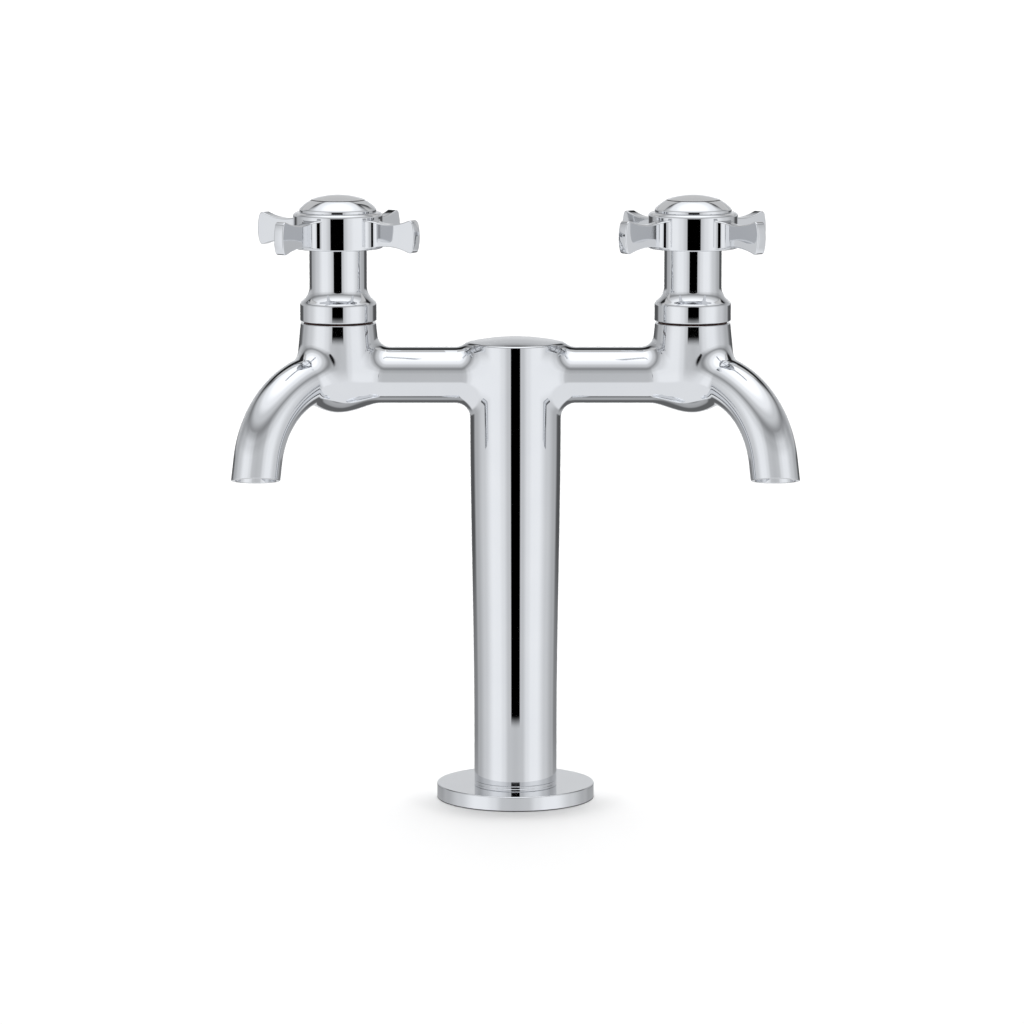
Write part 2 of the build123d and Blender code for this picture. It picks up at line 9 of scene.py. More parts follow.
# %% Load the frame
import json
import bpy
import bmesh
import numpy as np
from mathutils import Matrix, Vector


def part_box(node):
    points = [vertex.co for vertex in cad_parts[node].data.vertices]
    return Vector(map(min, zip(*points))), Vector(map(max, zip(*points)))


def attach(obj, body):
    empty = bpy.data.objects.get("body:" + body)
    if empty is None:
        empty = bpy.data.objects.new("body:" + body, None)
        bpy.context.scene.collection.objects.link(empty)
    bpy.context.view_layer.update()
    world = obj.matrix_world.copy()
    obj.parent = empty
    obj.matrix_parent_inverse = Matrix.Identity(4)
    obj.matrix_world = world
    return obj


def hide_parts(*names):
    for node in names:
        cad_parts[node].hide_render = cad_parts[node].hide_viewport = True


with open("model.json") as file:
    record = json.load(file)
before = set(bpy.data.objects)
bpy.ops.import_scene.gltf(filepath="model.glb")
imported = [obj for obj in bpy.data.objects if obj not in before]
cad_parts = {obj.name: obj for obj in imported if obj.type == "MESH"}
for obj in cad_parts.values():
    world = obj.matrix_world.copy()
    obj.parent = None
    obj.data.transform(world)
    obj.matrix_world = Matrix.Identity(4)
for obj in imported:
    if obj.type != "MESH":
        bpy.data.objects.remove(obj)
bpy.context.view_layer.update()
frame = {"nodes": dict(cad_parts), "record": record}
mm = 0.001

# %% [markdown]
# ## The camera
#
# The photograph looks down on the tap by about eight degrees from some way off, so a long lens
# is used. It could be moved by hand until the picture agrees, but the tap is symmetric, so its
# axis gives the sideways place, and the ellipses of the flange and the hubs give the tilt.

# %% Camera
camera_data = bpy.data.cameras.new("camera")
camera_data.lens = 168.75
camera_data.sensor_width = 36.0
camera_data.clip_start = 0.1
camera_data.clip_end = 100.0
camera = bpy.data.objects.new("camera", camera_data)
bpy.context.scene.collection.objects.link(camera)
camera_place = Vector((-0.00133, -1.805, 0.3717))
camera_aim = Vector((-0.00133, 0.0, 0.10996))
camera.location = camera_place
camera.rotation_mode = "QUATERNION"
camera.rotation_quaternion = (camera_aim - camera_place).to_track_quat("-Z", "Y")
bpy.context.scene.camera = camera
print("camera distance:", round((camera_aim - camera_place).length, 3), "m")

# %% [markdown]
# ## Outlines
#
# Chrome is seen only by what it mirrors, so it shows every fault of a surface. The turned pieces
# could be lathed from a few points and subdivided, but then their arcs wobble a little. Here an
# outline is a chain of exact curves, with exact arcs at its corners, and every point keeps the
# true normal of its curve. An outline runs up the outside, in over the top and down the inside,
# so that the metal is on its left.

# %% The sides of an outline: straight, bowed, or through three points
def straight(a, b):
    """The point moves evenly from a to b. The normal is that direction, a quarter to the right."""
    a, b = np.array(a, float), np.array(b, float)
    along = (b - a) / np.linalg.norm(b - a)
    normal = np.array([along[1], -along[0]])

    def at(t):
        return a + np.multiply.outer(t, b - a), np.multiply.outer(np.ones_like(t), normal)
    at.steps = 1
    return at


def bowed(a, b, rise):
    """An arc from a to b whose middle stands out from the chord by the rise, or in if negative.

    Its radius is (half chord squared + rise squared) / (2 rise); the angle from the middle grows
    evenly, and the normal is the direction from the arc's centre.
    """
    a, b = np.array(a, float), np.array(b, float)
    half_chord = np.linalg.norm(b - a) / 2
    along = (b - a) / (2 * half_chord)
    out = np.array([along[1], -along[0]])
    sign, rise = np.sign(rise), abs(rise)
    radius = (half_chord ** 2 + rise ** 2) / (2 * rise)
    centre = (a + b) / 2 + out * sign * (rise - radius)
    reach = np.arcsin(half_chord / radius)

    def at(t):
        angle = (2 * np.asarray(t, float) - 1) * reach
        across = np.multiply.outer(np.cos(angle), out)
        forward = np.multiply.outer(np.sin(angle), along)
        return centre + radius * (sign * across + forward), across + sign * forward
    at.steps = 16
    return at


def through(a, b, c):
    """The parabola through three points, with the middle one at its share of the chords."""
    a, b, c = (np.array(p, float) for p in (a, b, c))
    m = np.linalg.norm(b - a) / (np.linalg.norm(b - a) + np.linalg.norm(c - b))

    def at(t):
        t = np.asarray(t, float)
        shares = ((t - m) * (t - 1) / m, t * (t - 1) / (m * (m - 1)), t * (t - m) / (1 - m))
        slopes = ((2 * t - m - 1) / m, (2 * t - 1) / (m * (m - 1)), (2 * t - m) / (1 - m))
        point = sum(np.multiply.outer(s, p) for s, p in zip(shares, (a, b, c)))
        along = sum(np.multiply.outer(s, p) for s, p in zip(slopes, (a, b, c)))
        along /= np.linalg.norm(along, axis=-1, keepdims=True)
        return point, np.stack([along[..., 1], -along[..., 0]], -1)
    return at


print("a side of 20 mm bowed by 1 mm, at its middle:", bowed((0, 0), (0, 20), 1.0)(0.5)[0].round(3))


# %% A round where two sides meet
def touching_arc(first, second, radius):
    """Where an arc of this radius touches both curves, which meet at a corner.

    Both curves are moved sideways by the radius, and Newton's method finds where they cross.
    """
    normal_a, normal_b = first(1.0)[1], second(0.0)[1]
    turn = normal_a[0] * normal_b[1] - normal_a[1] * normal_b[0]
    offset = -radius * np.sign(turn)

    def gap(s, t):
        (p, n), (q, m) = first(s), second(t)
        return p + offset * n - q - offset * m
    place, step = np.array([1.0, 0.0]), 1e-6
    for _ in range(30):
        f = gap(*place)
        slopes = np.stack([(gap(place[0] + step, place[1]) - f) / step,
                           (gap(place[0], place[1] + step) - f) / step], 1)
        place = place - np.linalg.solve(slopes, f)
    return place[0], place[1], offset


right_corner = straight((0, 0), (10, 0)), straight((10, 0), (10, 10))
print("a 2 mm round on sides of 10 mm starts after", round(touching_arc(*right_corner, 2.0)[0], 3))


# %% The whole outline
arc_step = 0.12


def outline(curves, radii, steps=None):
    """Points along the chained curves, and the normals at both ends of each short run.

    Curve k meets curve k + 1 at an arc of radii[k], or at a sharp corner where that is 0. Arcs get
    one run for about each 7 degrees; a curve gets steps[k] runs, or its own number of steps.
    """
    steps = steps or [curve.steps for curve in curves]
    starts, ends, arcs = [0.0] * len(curves), [1.0] * len(curves), []
    for k, radius in enumerate(radii):
        if radius > 0:
            ends[k], starts[k + 1], offset = touching_arc(curves[k], curves[k + 1], radius)
            arcs.append(offset)
        else:
            arcs.append(None)
    runs = []
    for k, curve in enumerate(curves):
        runs.append(curve(np.linspace(starts[k], ends[k], steps[k] + 1)))
        if k < len(arcs) and arcs[k] is not None:
            point, normal = curve(ends[k])
            after = curves[k + 1](starts[k + 1])[1]
            turn = np.arctan2(normal[0] * after[1] - normal[1] * after[0], normal @ after)
            t = np.linspace(0, turn, max(4, int(np.ceil(abs(turn) / arc_step))) + 1)
            side = np.array([-normal[1], normal[0]])
            normals = np.multiply.outer(np.cos(t), normal) + np.multiply.outer(np.sin(t), side)
            runs.append((point + arcs[k] * normal - arcs[k] * normals, normals))
    points = np.concatenate([runs[0][0]] + [p[1:] for p, n in runs[1:]])
    before = np.concatenate([n[:-1] for p, n in runs])
    after = np.concatenate([n[1:] for p, n in runs])
    return points, before, after


def corners(points, radii=None, closed=False):
    """An outline of straight sides through corner points, with an arc at each inner corner."""
    points = list(points) + ([points[0]] if closed else [])
    sides = [straight(a, b) for a, b in zip(points, points[1:])]
    return outline(sides, radii or [0] * (len(sides) - 1))


tube_outline = corners([(8, 0), (10, 0), (10, 20), (8, 20)], [0.5, 0.5, 0], closed=True)
print("the outline of a tube with rounded outer edges:", len(tube_outline[0]), "points")

# %% [markdown]
# ## Surfaces from rows of points
#
# A surface is a set of bands: a band joins two rows of points, and each of its four-sided faces
# knows the normal at each of its corners. Rows that lie on the same points are welded at the end,
# which closes seams and poles, and a face that loses a side there becomes a triangle. The normals
# go into the mesh as they are, so a flat face next to a tiny round still mirrors as a flat one.

# %% Bands of faces, and outlines carried round an axis
def bands(lower, lower_normals, upper, upper_normals, finish=0):
    """Faces between row k of lower and row k of upper, from each column to the next one.

    All four arrays are (bands, columns, 3). Seen from outside, columns run to the right and
    upper is above lower, so the corners go round anticlockwise. The finish is the number of
    the piece's material.
    """
    rows, columns = lower.shape[:2]
    index = np.arange(rows * columns).reshape(rows, columns)
    top = index + rows * columns
    faces = np.stack([index[:, :-1], index[:, 1:], top[:, 1:], top[:, :-1]], -1).reshape(-1, 4)
    points = np.concatenate([lower.reshape(-1, 3), upper.reshape(-1, 3)])
    normals = np.concatenate([lower_normals.reshape(-1, 3), upper_normals.reshape(-1, 3)])
    return points, [(faces, normals[faces], finish)]


def carried(profile, angle, axis=(0.0, 0.0), finish=0):
    """The outline at each plan angle: x = r cos a, y = r sin a from the axis, z = height."""
    points, before, after = profile

    def ring(flat):
        r, z = flat[:, :1], flat[:, 1:]
        return np.stack([r * np.cos(angle), r * np.sin(angle), z + 0 * angle], -1)
    rings = ring(points) + np.array([*axis, 0.0])
    return bands(rings[:-1], ring(before), rings[1:], ring(after), finish)


def turned(profile, sides=144, finish=0):
    """The outline carried once round the vertical axis at even angles."""
    angle = np.linspace(0, 2 * np.pi, sides + 1)
    angle[-1] = 0
    return carried(profile, angle, finish=finish)


def placed(shell, plan_angle=0.0, move=(0, 0, 0)):
    """The shell turned about the vertical axis by an angle in degrees, and then moved."""
    c, s = np.cos(np.radians(plan_angle)), np.sin(np.radians(plan_angle))
    turn = np.array([[c, s, 0], [-s, c, 0], [0, 0, 1]])
    points, groups = shell
    return points @ turn + np.array(move, float), [(f, n @ turn, k) for f, n, k in groups]


tube = turned(tube_outline)
print("the tube:", len(tube[0]), "points,", len(tube[1][0][0]), "faces")

# %% Weld the shells of a piece
weld_within = 2e-5


def welded(shells):
    """All shells as one: points that lie together are made one, faces that lose a side become
    triangles, and each face is turned so that its normals point out of it."""
    points = np.concatenate([p for p, groups in shells])
    offsets = np.cumsum([0] + [len(p) for p, groups in shells])
    keys = np.round(points / weld_within).astype(np.int64)
    _, first, same = np.unique(keys, axis=0, return_index=True, return_inverse=True)
    points, same = points[first], same.ravel()
    pieces = []
    for (p, groups), offset in zip(shells, offsets):
        for faces, normals, finish in groups:
            faces = same[faces + offset]
            thin = faces == np.roll(faces, -1, axis=1)
            whole = ~thin.any(1)
            pieces.append((faces[whole], normals[whole], finish))
            for corner in range(4 if faces.shape[1] == 4 else 0):
                rest = [k for k in range(4) if k != corner]
                one = thin[:, corner] & (thin.sum(1) == 1)
                pieces.append((faces[one][:, rest], normals[one][:, rest], finish))
    turned_out = []
    for faces, normals, finish in pieces:
        corner = points[faces]
        ahead = np.roll(corner, -1, axis=1)
        backwards = (np.cross(corner, ahead).sum(1) * normals.sum(1)).sum(1) < 0
        faces[backwards] = faces[backwards][:, ::-1]
        normals[backwards] = normals[backwards][:, ::-1]
        turned_out.append((faces, normals, np.full(len(faces), finish)))
    faces, normals, finishes = zip(*turned_out)
    return points, faces, normals, np.concatenate(finishes)


print("the tube, welded:", len(welded([tube])[0]), "points")


# %% Make a piece in Blender
def make(name, shells, finishes, body, stands_for):
    """Put the shells into one mesh with their own normals, and tie it to its CAD body and node.

    It prints how far the piece's box lies from the box of the solid that it stands for.
    """
    points, faces, normals, indices = welded(shells)
    mesh = bpy.data.meshes.new(name)
    mesh.from_pydata(points * mm, [], [f for group in faces for f in group.tolist()])
    mesh.polygons.foreach_set("use_smooth", np.ones(len(mesh.polygons), bool))
    mesh.polygons.foreach_set("material_index", indices.astype(np.int32))
    for material in finishes:
        mesh.materials.append(material)
    corner_normals = np.concatenate([n.reshape(-1, 3) for n in normals])
    mesh.normals_split_custom_set(corner_normals)
    mesh.update()
    new = bpy.data.objects.new(name, mesh)
    bpy.context.scene.collection.objects.link(new)
    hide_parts(stands_for)
    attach(new, body)
    edges = np.zeros(len(mesh.loops), np.int32)
    mesh.loops.foreach_get("edge_index", edges)
    open_edges = int((np.bincount(edges) != 2).sum())
    solid_box = np.array(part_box(stands_for)) / mm
    off = np.abs(np.array([points.min(0), points.max(0)]) - solid_box).max()
    print(f"{name}: {len(mesh.polygons)} faces, {open_edges} open edges,",
          f"box within {off:.2f} mm of the solid's")
    return new


# %% [markdown]
# ## Finishes
#
# A finish is a small node tree on the surface's own shader. The plating could be one flat
# mirror, but a buffed and plated casting carries a faint haze, where the mop left it a little
# less bright, and a very shallow ripple under the plate. Both are noise in Object coordinates, so
# they stay on the metal when a handle turns. The strengths are low: the photograph shows a
# nearly perfect mirror.

# %% A finish and its noise
def finish(name, base, roughness, metallic=0.0, **sockets):
    """A new material with its constants on the shader's own sockets."""
    material = bpy.data.materials.new(name)
    material.use_nodes = True
    shader = material.node_tree.nodes["Principled BSDF"]
    shader.inputs["Base Color"].default_value = (*base, 1.0)
    shader.inputs["Roughness"].default_value = roughness
    shader.inputs["Metallic"].default_value = metallic
    for socket, value in sockets.items():
        shader.inputs[socket.replace("_", " ")].default_value = value
    material.diffuse_color = (*base, 1.0)
    return material, shader


def noise(material, scale, detail=3.0, stretch=(1.0, 1.0, 1.0)):
    """A noise on Object coordinates; the scale is in waves per metre."""
    tree = material.node_tree
    place = tree.nodes.new("ShaderNodeTexCoord")
    mapping = tree.nodes.new("ShaderNodeMapping")
    mapping.inputs["Scale"].default_value = stretch
    pattern = tree.nodes.new("ShaderNodeTexNoise")
    pattern.inputs["Scale"].default_value = scale
    pattern.inputs["Detail"].default_value = detail
    tree.links.new(place.outputs["Object"], mapping.inputs["Vector"])
    tree.links.new(mapping.outputs["Vector"], pattern.inputs["Vector"])
    return pattern.outputs["Fac"]


print("materials that came with the frame:", len(bpy.data.materials))


# %% What the noise changes, and the polished chrome
def spread(material, value, socket, low, high, reach=(0.3, 0.7)):
    """Map a value that lies within the reach to low and high, and feed it to a socket."""
    tree = material.node_tree
    ramp = tree.nodes.new("ShaderNodeMapRange")
    ramp.inputs["From Min"].default_value, ramp.inputs["From Max"].default_value = reach
    ramp.inputs["To Min"].default_value, ramp.inputs["To Max"].default_value = low, high
    tree.links.new(value, ramp.inputs["Value"])
    tree.links.new(ramp.outputs["Result"], socket)


def shade(material, shader, value, dark, light):
    """Mix two colours by a value, into the base colour."""
    tree = material.node_tree
    ramp = tree.nodes.new("ShaderNodeValToRGB")
    ramp.color_ramp.elements[0].position = 0.3
    ramp.color_ramp.elements[0].color = (*dark, 1.0)
    ramp.color_ramp.elements[1].position = 0.7
    ramp.color_ramp.elements[1].color = (*light, 1.0)
    tree.links.new(value, ramp.inputs["Fac"])
    tree.links.new(ramp.outputs["Color"], shader.inputs["Base Color"])


def ripple(material, shader, value, height_mm, strength=1.0):
    """Stand the surface up and down by a value, over the given height."""
    tree = material.node_tree
    bump = tree.nodes.new("ShaderNodeBump")
    bump.inputs["Strength"].default_value = strength
    bump.inputs["Distance"].default_value = height_mm * mm
    tree.links.new(value, bump.inputs["Height"])
    tree.links.new(bump.outputs["Normal"], shader.inputs["Normal"])


def told(*materials):
    """Print each finish with the number of nodes in its tree."""
    for material in materials:
        print(material.name + ":", len(material.node_tree.nodes), "nodes")


chrome, shader = finish("polished chrome", (0.78, 0.79, 0.81), 0.03, 1.0)
shade(chrome, shader, noise(chrome, 55, 4.0), (0.765, 0.777, 0.80), (0.79, 0.80, 0.818))
spread(chrome, noise(chrome, 210, 5.0), shader.inputs["Roughness"], 0.022, 0.045)
ripple(chrome, shader, noise(chrome, 38, 1.0), 0.012)
told(chrome)

# %% [markdown]
# The metals under the plating show their making. Brass is dull and rough where it was cast or
# bored, and has fine rings where it was turned: the noise is drawn out along the circle by a low
# scale across. Zinc plating is blotchy, and stainless steel is nearly plain. They could share one
# tree with other colours, but each is looked at from close by when the tap is taken apart.

# %% Brass, as cast or bored inside, and as turned
cast_brass, shader = finish("brass inside the casting", (0.42, 0.33, 0.19), 0.5, 1.0)
shade(cast_brass, shader, noise(cast_brass, 700, 5.0), (0.26, 0.20, 0.12), (0.46, 0.37, 0.22))
spread(cast_brass, noise(cast_brass, 1500, 3.0), shader.inputs["Roughness"], 0.42, 0.65)
ripple(cast_brass, shader, noise(cast_brass, 1800, 4.0), 0.05)

brass, shader = finish("turned brass", (0.78, 0.60, 0.31), 0.25, 1.0)
shade(brass, shader, noise(brass, 90, 4.0), (0.66, 0.49, 0.24), (0.80, 0.63, 0.34))
spread(brass, noise(brass, 900, 2.0, (0.02, 0.02, 6.0)), shader.inputs["Roughness"], 0.18, 0.36)
ripple(brass, shader, noise(brass, 1100, 2.0, (0.01, 0.01, 5.0)), 0.006)
told(cast_brass, brass)

# %% Steel: the zinc-plated washer, and stainless screws and rings
zinc_steel, shader = finish("zinc-plated steel", (0.63, 0.65, 0.68), 0.35, 1.0)
shade(zinc_steel, shader, noise(zinc_steel, 420, 4.0), (0.52, 0.55, 0.60), (0.68, 0.69, 0.70))
spread(zinc_steel, noise(zinc_steel, 1300, 4.0), shader.inputs["Roughness"], 0.28, 0.48)
ripple(zinc_steel, shader, noise(zinc_steel, 2500, 3.0), 0.01)

stainless, shader = finish("stainless steel", (0.60, 0.60, 0.61), 0.3, 1.0)
shade(stainless, shader, noise(stainless, 300, 3.0), (0.55, 0.55, 0.56), (0.64, 0.64, 0.65))
spread(stainless, noise(stainless, 1700, 2.0, (1, 1, 8)), shader.inputs["Roughness"], 0.22, 0.4)
told(zinc_steel, stainless)

# %% [markdown]
# Rubber has a fine grain from its mould, and the headworks' seals are vulcanised fibre, nearly
# black, whose layers lie flat. A last finish is painted shade, no material of its own: a thin
# dark line painted in the groove round a cap's crown and under the flange's edge, where shade
# falls. The line could be left to real shadow, but a groove that fine would vanish between two pixels.

# %% Rubber, fibre, the painted shade line and the slippery plastic
rubber, shader = finish("black rubber", (0.02, 0.02, 0.021), 0.7, Specular_IOR_Level=0.4)
shade(rubber, shader, noise(rubber, 350, 5.0), (0.012, 0.012, 0.013), (0.032, 0.032, 0.034))
spread(rubber, noise(rubber, 1200, 3.0), shader.inputs["Roughness"], 0.55, 0.8)
ripple(rubber, shader, noise(rubber, 2600, 4.0), 0.02)

fibre, shader = finish("vulcanised fibre", (0.05, 0.014, 0.01), 0.75, Specular_IOR_Level=0.2)
shade(fibre, shader, noise(fibre, 900, 6.0, (1, 1, 6)), (0.02, 0.008, 0.006), (0.04, 0.016, 0.012))
spread(fibre, noise(fibre, 1500, 4.0), shader.inputs["Roughness"], 0.6, 0.85)
ripple(fibre, shader, noise(fibre, 2200, 5.0, (1, 1, 4)), 0.03)

# Painted shade: a near-black colour that stands in for the shade in the caps' grooves and at the
# flange's foot.
painted_shade_line, shader = finish("painted shade line", (0.03, 0.03, 0.032), 0.8)
shade(painted_shade_line, shader, noise(painted_shade_line, 900, 4.0), (0.015, 0.015, 0.016), (0.05, 0.05, 0.055))
spread(painted_shade_line, noise(painted_shade_line, 1500, 3.0), shader.inputs["Roughness"], 0.6, 0.9)

plastic, shader = finish("white slippery plastic", (0.86, 0.86, 0.84), 0.4)
shade(plastic, shader, noise(plastic, 500, 3.0), (0.82, 0.82, 0.80), (0.88, 0.88, 0.87))
spread(plastic, noise(plastic, 1600, 3.0), shader.inputs["Roughness"], 0.32, 0.48)
told(rubber, fibre, painted_shade_line, plastic)

# %% Every CAD node takes the finish of its slot
finishes = {
    "polished_chrome": chrome, "bare_brass": brass, "zinc_steel": zinc_steel,
    "stainless_steel": stainless, "black_rubber": rubber, "red_fibre": fibre,
    "white_plastic": plastic,
}
for part in frame["record"]["subparts"]:
    node = frame["nodes"][part["node"]]
    node.data.materials.clear()
    node.data.materials.append(finishes[part["material_slot"]])

# %% [markdown]
# ## The casting's shape
#
# Column, arms, valve bodies and spouts are one brass casting, and hand polishing has run them
# into each other. The tubes could be joined with a boolean and bevelled, but a bevel over such
# curved seams leaves creases that a mirror shows. Here the shape is a distance field: a number at
# each point of space that says how far outside the metal it is. Each tube's distance is a short
# formula, and two of them are blended with a radius, as a fillet is. The surface is where the
# number is 0.

# %% Sizes of the casting, in millimetres, as the solids have them
foot_r, top_r = 15.75, 17.2
flare_start, flare_end = 27.0, 150.0
foot_z, column_top, column_dome = 6.7, 174.8, 1.9
arm_z, arm_r = 162.4, 10.65
tap_x, rim_z, rim_r = 66.9, 182.4, 14.25
pot_r, pot_z = 16.0, 164.2
arm_fillet, pot_fillet, spout_fillet = 5.5, 4.2, 4.6
spout_r, bore_r = 9.15, 7.65
spout_root, bend_r, bend, spout_end = 7.8, 34.0, np.radians(81.0), 7.8
mouth_lean = np.radians(14.0)
thread_r, snug, loose = 10.478, 0.05, 0.3
pot_reach = np.hypot(rim_r, rim_z - pot_z)
pot_slope = np.arctan2(rim_z - pot_z, rim_r) - np.arccos(pot_r / pot_reach)
print("pot wall leans in by", round(np.degrees(pot_slope), 2), "degrees")


# %% Distances to each tube
def from_column(x, y, z):
    """Distance from the axis, less a radius that eases from the foot's to the top's."""
    t = np.clip((z - flare_start) / (flare_end - flare_start), 0, 1)
    return np.hypot(x, y) - (foot_r + (top_r - foot_r) * t * t * (3 - 2 * t))


def from_arm(x, y, z):
    """Distance from the level centre line, which ends in the valve body, less the radius."""
    past = np.maximum(x - tap_x, 0)
    return np.sqrt(past ** 2 + y ** 2 + (z - arm_z) ** 2) - arm_r


def from_pot(x, y, z):
    """Distance to a ball, and above its widest part to the cone that touches it."""
    out, up = np.hypot(x - tap_x, y), z - pot_z
    ball = np.hypot(out, up) - pot_r
    cone = out * np.cos(pot_slope) + up * np.sin(pot_slope) - pot_r
    return np.where(up * np.cos(pot_slope) - out * np.sin(pot_slope) > 0, cone, ball)


def from_spout(x, y, z):
    """Distance to a centre line of a straight root, an arc downwards and a straight end."""
    c = np.sqrt(0.5)
    out, side, up = (x - tap_x - y) * c, (x - tap_x + y) * c, z - arm_z
    root = np.hypot(out - np.clip(out, 0, spout_root), up)
    angle = np.arctan2(up + bend_r, out - spout_root)
    angle = np.clip(angle, np.pi / 2 - bend, np.pi / 2)
    arc = np.hypot(out - spout_root - bend_r * np.cos(angle), up + bend_r - bend_r * np.sin(angle))
    end_out, end_up = spout_root + bend_r * np.sin(bend), bend_r * (np.cos(bend) - 1)
    along = (out - end_out) * np.cos(bend) - (up - end_up) * np.sin(bend)
    along = np.clip(along, 0, 2 * spout_end)
    end = np.hypot(out - end_out - along * np.cos(bend), up - end_up + along * np.sin(bend))
    return np.hypot(np.minimum(np.minimum(root, arc), end), side) - spout_r


def blended(a, b, radius):
    """Two distances joined with a fillet: in the corner, how far both are below the radius
    is added as the sides of a right triangle, which gives a round of that radius."""
    corner = np.hypot(np.maximum(radius - a, 0), np.maximum(radius - b, 0))
    return np.maximum(radius, np.minimum(a, b)) - corner


def from_casting(x, y, z):
    """All tubes, blended one after the other. Both sides are alike."""
    x = np.abs(x)
    body = blended(from_column(x, y, z), from_arm(x, y, z), arm_fillet)
    body = blended(body, from_pot(x, y, z), pot_fillet)
    return blended(body, from_spout(x, y, z), spout_fillet)


halfway = np.array([tap_x / 2, 0.0, arm_z])
print("inside an arm, on its axis, the surface is", -round(float(from_casting(*halfway)), 2), "mm away")


# %% The direction away from the metal
def slope(points, step=1e-3):
    """The field's gradient, which is the direction away from the metal, by central differences."""
    sides = np.eye(3) * step
    return np.stack([from_casting(*(points + s).T) - from_casting(*(points - s).T)
                     for s in sides], -1) / (2 * step)


print("above an arm the surface faces", slope(halfway[None] + [0, 0, arm_r])[0].round(3))

# %% [markdown]
# ## From the field to a net of points
#
# The field is measured on a grid. Every cell of the grid that the surface passes through gets
# one point, and every grid edge that goes from metal to air gets one face, between the four cells
# round it. The points are then evened out, each towards the middle of its neighbours, and pulled
# back on the surface along the slope. A Remesh modifier could do this too, but it would lose the
# exact normals.

# %% Net of points over the surface
def net(low, high, size):
    """Points and four-sided faces where the field changes sign on a grid of this size."""
    axes = [np.arange(a, b + size, size) for a, b in zip(low, high)]
    inside = from_casting(*np.meshgrid(*axes, indexing="ij", sparse=True)) < 0
    cells = tuple(n - 1 for n in inside.shape)
    ways = [(i, j, k) for i in (0, 1) for j in (0, 1) for k in (0, 1)]
    count = sum(inside[i:i + cells[0], j:j + cells[1], k:k + cells[2]].astype(np.int8)
                for i, j, k in ways)
    crossed = (count > 0) & (count < 8)
    index = np.full(cells, -1, np.int32)
    index[crossed] = np.arange(crossed.sum())
    points = np.array(low) + (np.argwhere(crossed) + 0.5) * size
    faces = []
    for axis in range(3):
        b, c = (axis + 1) % 3, (axis + 2) % 3
        first = np.take(inside, np.arange(cells[axis]), axis)
        last = np.take(inside, np.arange(1, cells[axis] + 1), axis)
        edge = np.argwhere(first != last)
        for other in (b, c):
            edge = edge[(edge[:, other] > 0) & (edge[:, other] < cells[other])]
        metal_first = first[tuple(edge.T)]
        around = []
        for step_b, step_c in ((0, 0), (-1, 0), (-1, -1), (0, -1)):
            cell = edge.copy()
            cell[:, b] += step_b
            cell[:, c] += step_c
            around.append(index[tuple(cell.T)])
        around = np.stack(around, 1)
        around[~metal_first] = around[~metal_first][:, ::-1]
        faces.append(around)
    return points, np.concatenate(faces)


net_low, net_high, net_size = (-111, -51, 4.1), (111, 19, 186), 0.95
net_points, net_faces = net(net_low, net_high, net_size)
print("net:", len(net_points), "points,", len(net_faces), "faces")


# %% Even out the net on the surface
def settled(points, faces, rounds=8, share=0.6):
    """Move each point a share of the way to its neighbours' middle, then back by distance
    over slope."""
    ends = np.concatenate([faces[:, [k, (k + 1) % 4]] for k in range(4)])
    count = np.bincount(ends[:, 0], minlength=len(points))[:, None]
    for _ in range(rounds):
        middle = np.stack([np.bincount(ends[:, 0], points[ends[:, 1], axis], len(points))
                           for axis in range(3)], 1) / count
        points = points + share * (middle - points)
        for _ in range(2):
            g = slope(points)
            points = points - g * (from_casting(*points.T) / (g * g).sum(1))[:, None]
    return points


net_points = settled(net_points, net_faces)
print("farthest off the surface:", round(float(np.abs(from_casting(*net_points.T)).max()), 6), "mm")

# %% [markdown]
# ## Ends of the casting
#
# The net runs on past the column's top and foot, the rims of the valve bodies and the mouths of
# the spouts. There it is cut, and a lip is built on the cut: a small round, the machined face,
# and the bore behind it. A round drawn by the net would be coarser than the round itself, which
# is only a few tenths of a millimetre.

# %% Where the casting ends
outward = {side: np.array([side, -1.0, 0.0]) * np.sqrt(0.5) for side in (-1, 1)}
up = np.array([0.0, 0.0, 1.0])
mouth_out = spout_root + bend_r * np.sin(bend) + spout_end * np.cos(bend)
mouth_drop = bend_r * (1 - np.cos(bend)) + spout_end * np.sin(bend)
mouth_facing = np.array([0.0, -np.sin(mouth_lean), -np.cos(mouth_lean)])
mouth = {side: np.array([side * tap_x, 0, arm_z - mouth_drop]) + outward[side] * mouth_out
         for side in (-1, 1)}
top_round, foot_round, rim_round, mouth_round = 0.9, 0.25, 0.4, 0.3
dome_r = (top_r ** 2 + column_dome ** 2) / (2 * column_dome)
dome_edge_tilt = np.arcsin(top_r / dome_r)
dome_edge_r = top_r - top_round * (1 - np.sin(dome_edge_tilt))
dome_edge_z = column_top + column_dome - dome_r + np.sqrt(dome_r ** 2 - dome_edge_r ** 2)
top_lip = top_round * np.cos(dome_edge_tilt)
ends = [
    (np.array([0, 0, dome_edge_z]), up, top_lip),
    (np.array([0, 0, foot_z]), -up, foot_round),
    (np.array([-tap_x, 0, rim_z]), up, rim_round),
    (np.array([tap_x, 0, rim_z]), up, rim_round),
    (mouth[-1], mouth_facing, mouth_round),
    (mouth[1], mouth_facing, mouth_round),
]
end_reach = 24.0
print("the right spout's mouth:", mouth[1].round(2), "and the dome's radius:", round(dome_r, 1))


# %% Cut the net at the ends
def cut(points, faces, ends):
    """Trim the net at a plane just inside each end, with only the faces near that end touched."""
    mesh = bpy.data.meshes.new("net")
    mesh.from_pydata(points, [], faces.tolist())
    work = bmesh.new()
    work.from_mesh(mesh)
    for centre, facing, depth in ends:
        near = [f for f in work.faces
                if (f.calc_center_median() - Vector(centre)).length < end_reach]
        edges = list({e for f in near for e in f.edges})
        verts = list({v for f in near for v in f.verts})
        bmesh.ops.bisect_plane(work, geom=near + edges + verts, dist=1e-5,
                               plane_co=Vector(centre - facing * depth), plane_no=Vector(facing),
                               clear_outer=True)
    work.to_mesh(mesh)
    work.free()
    return mesh


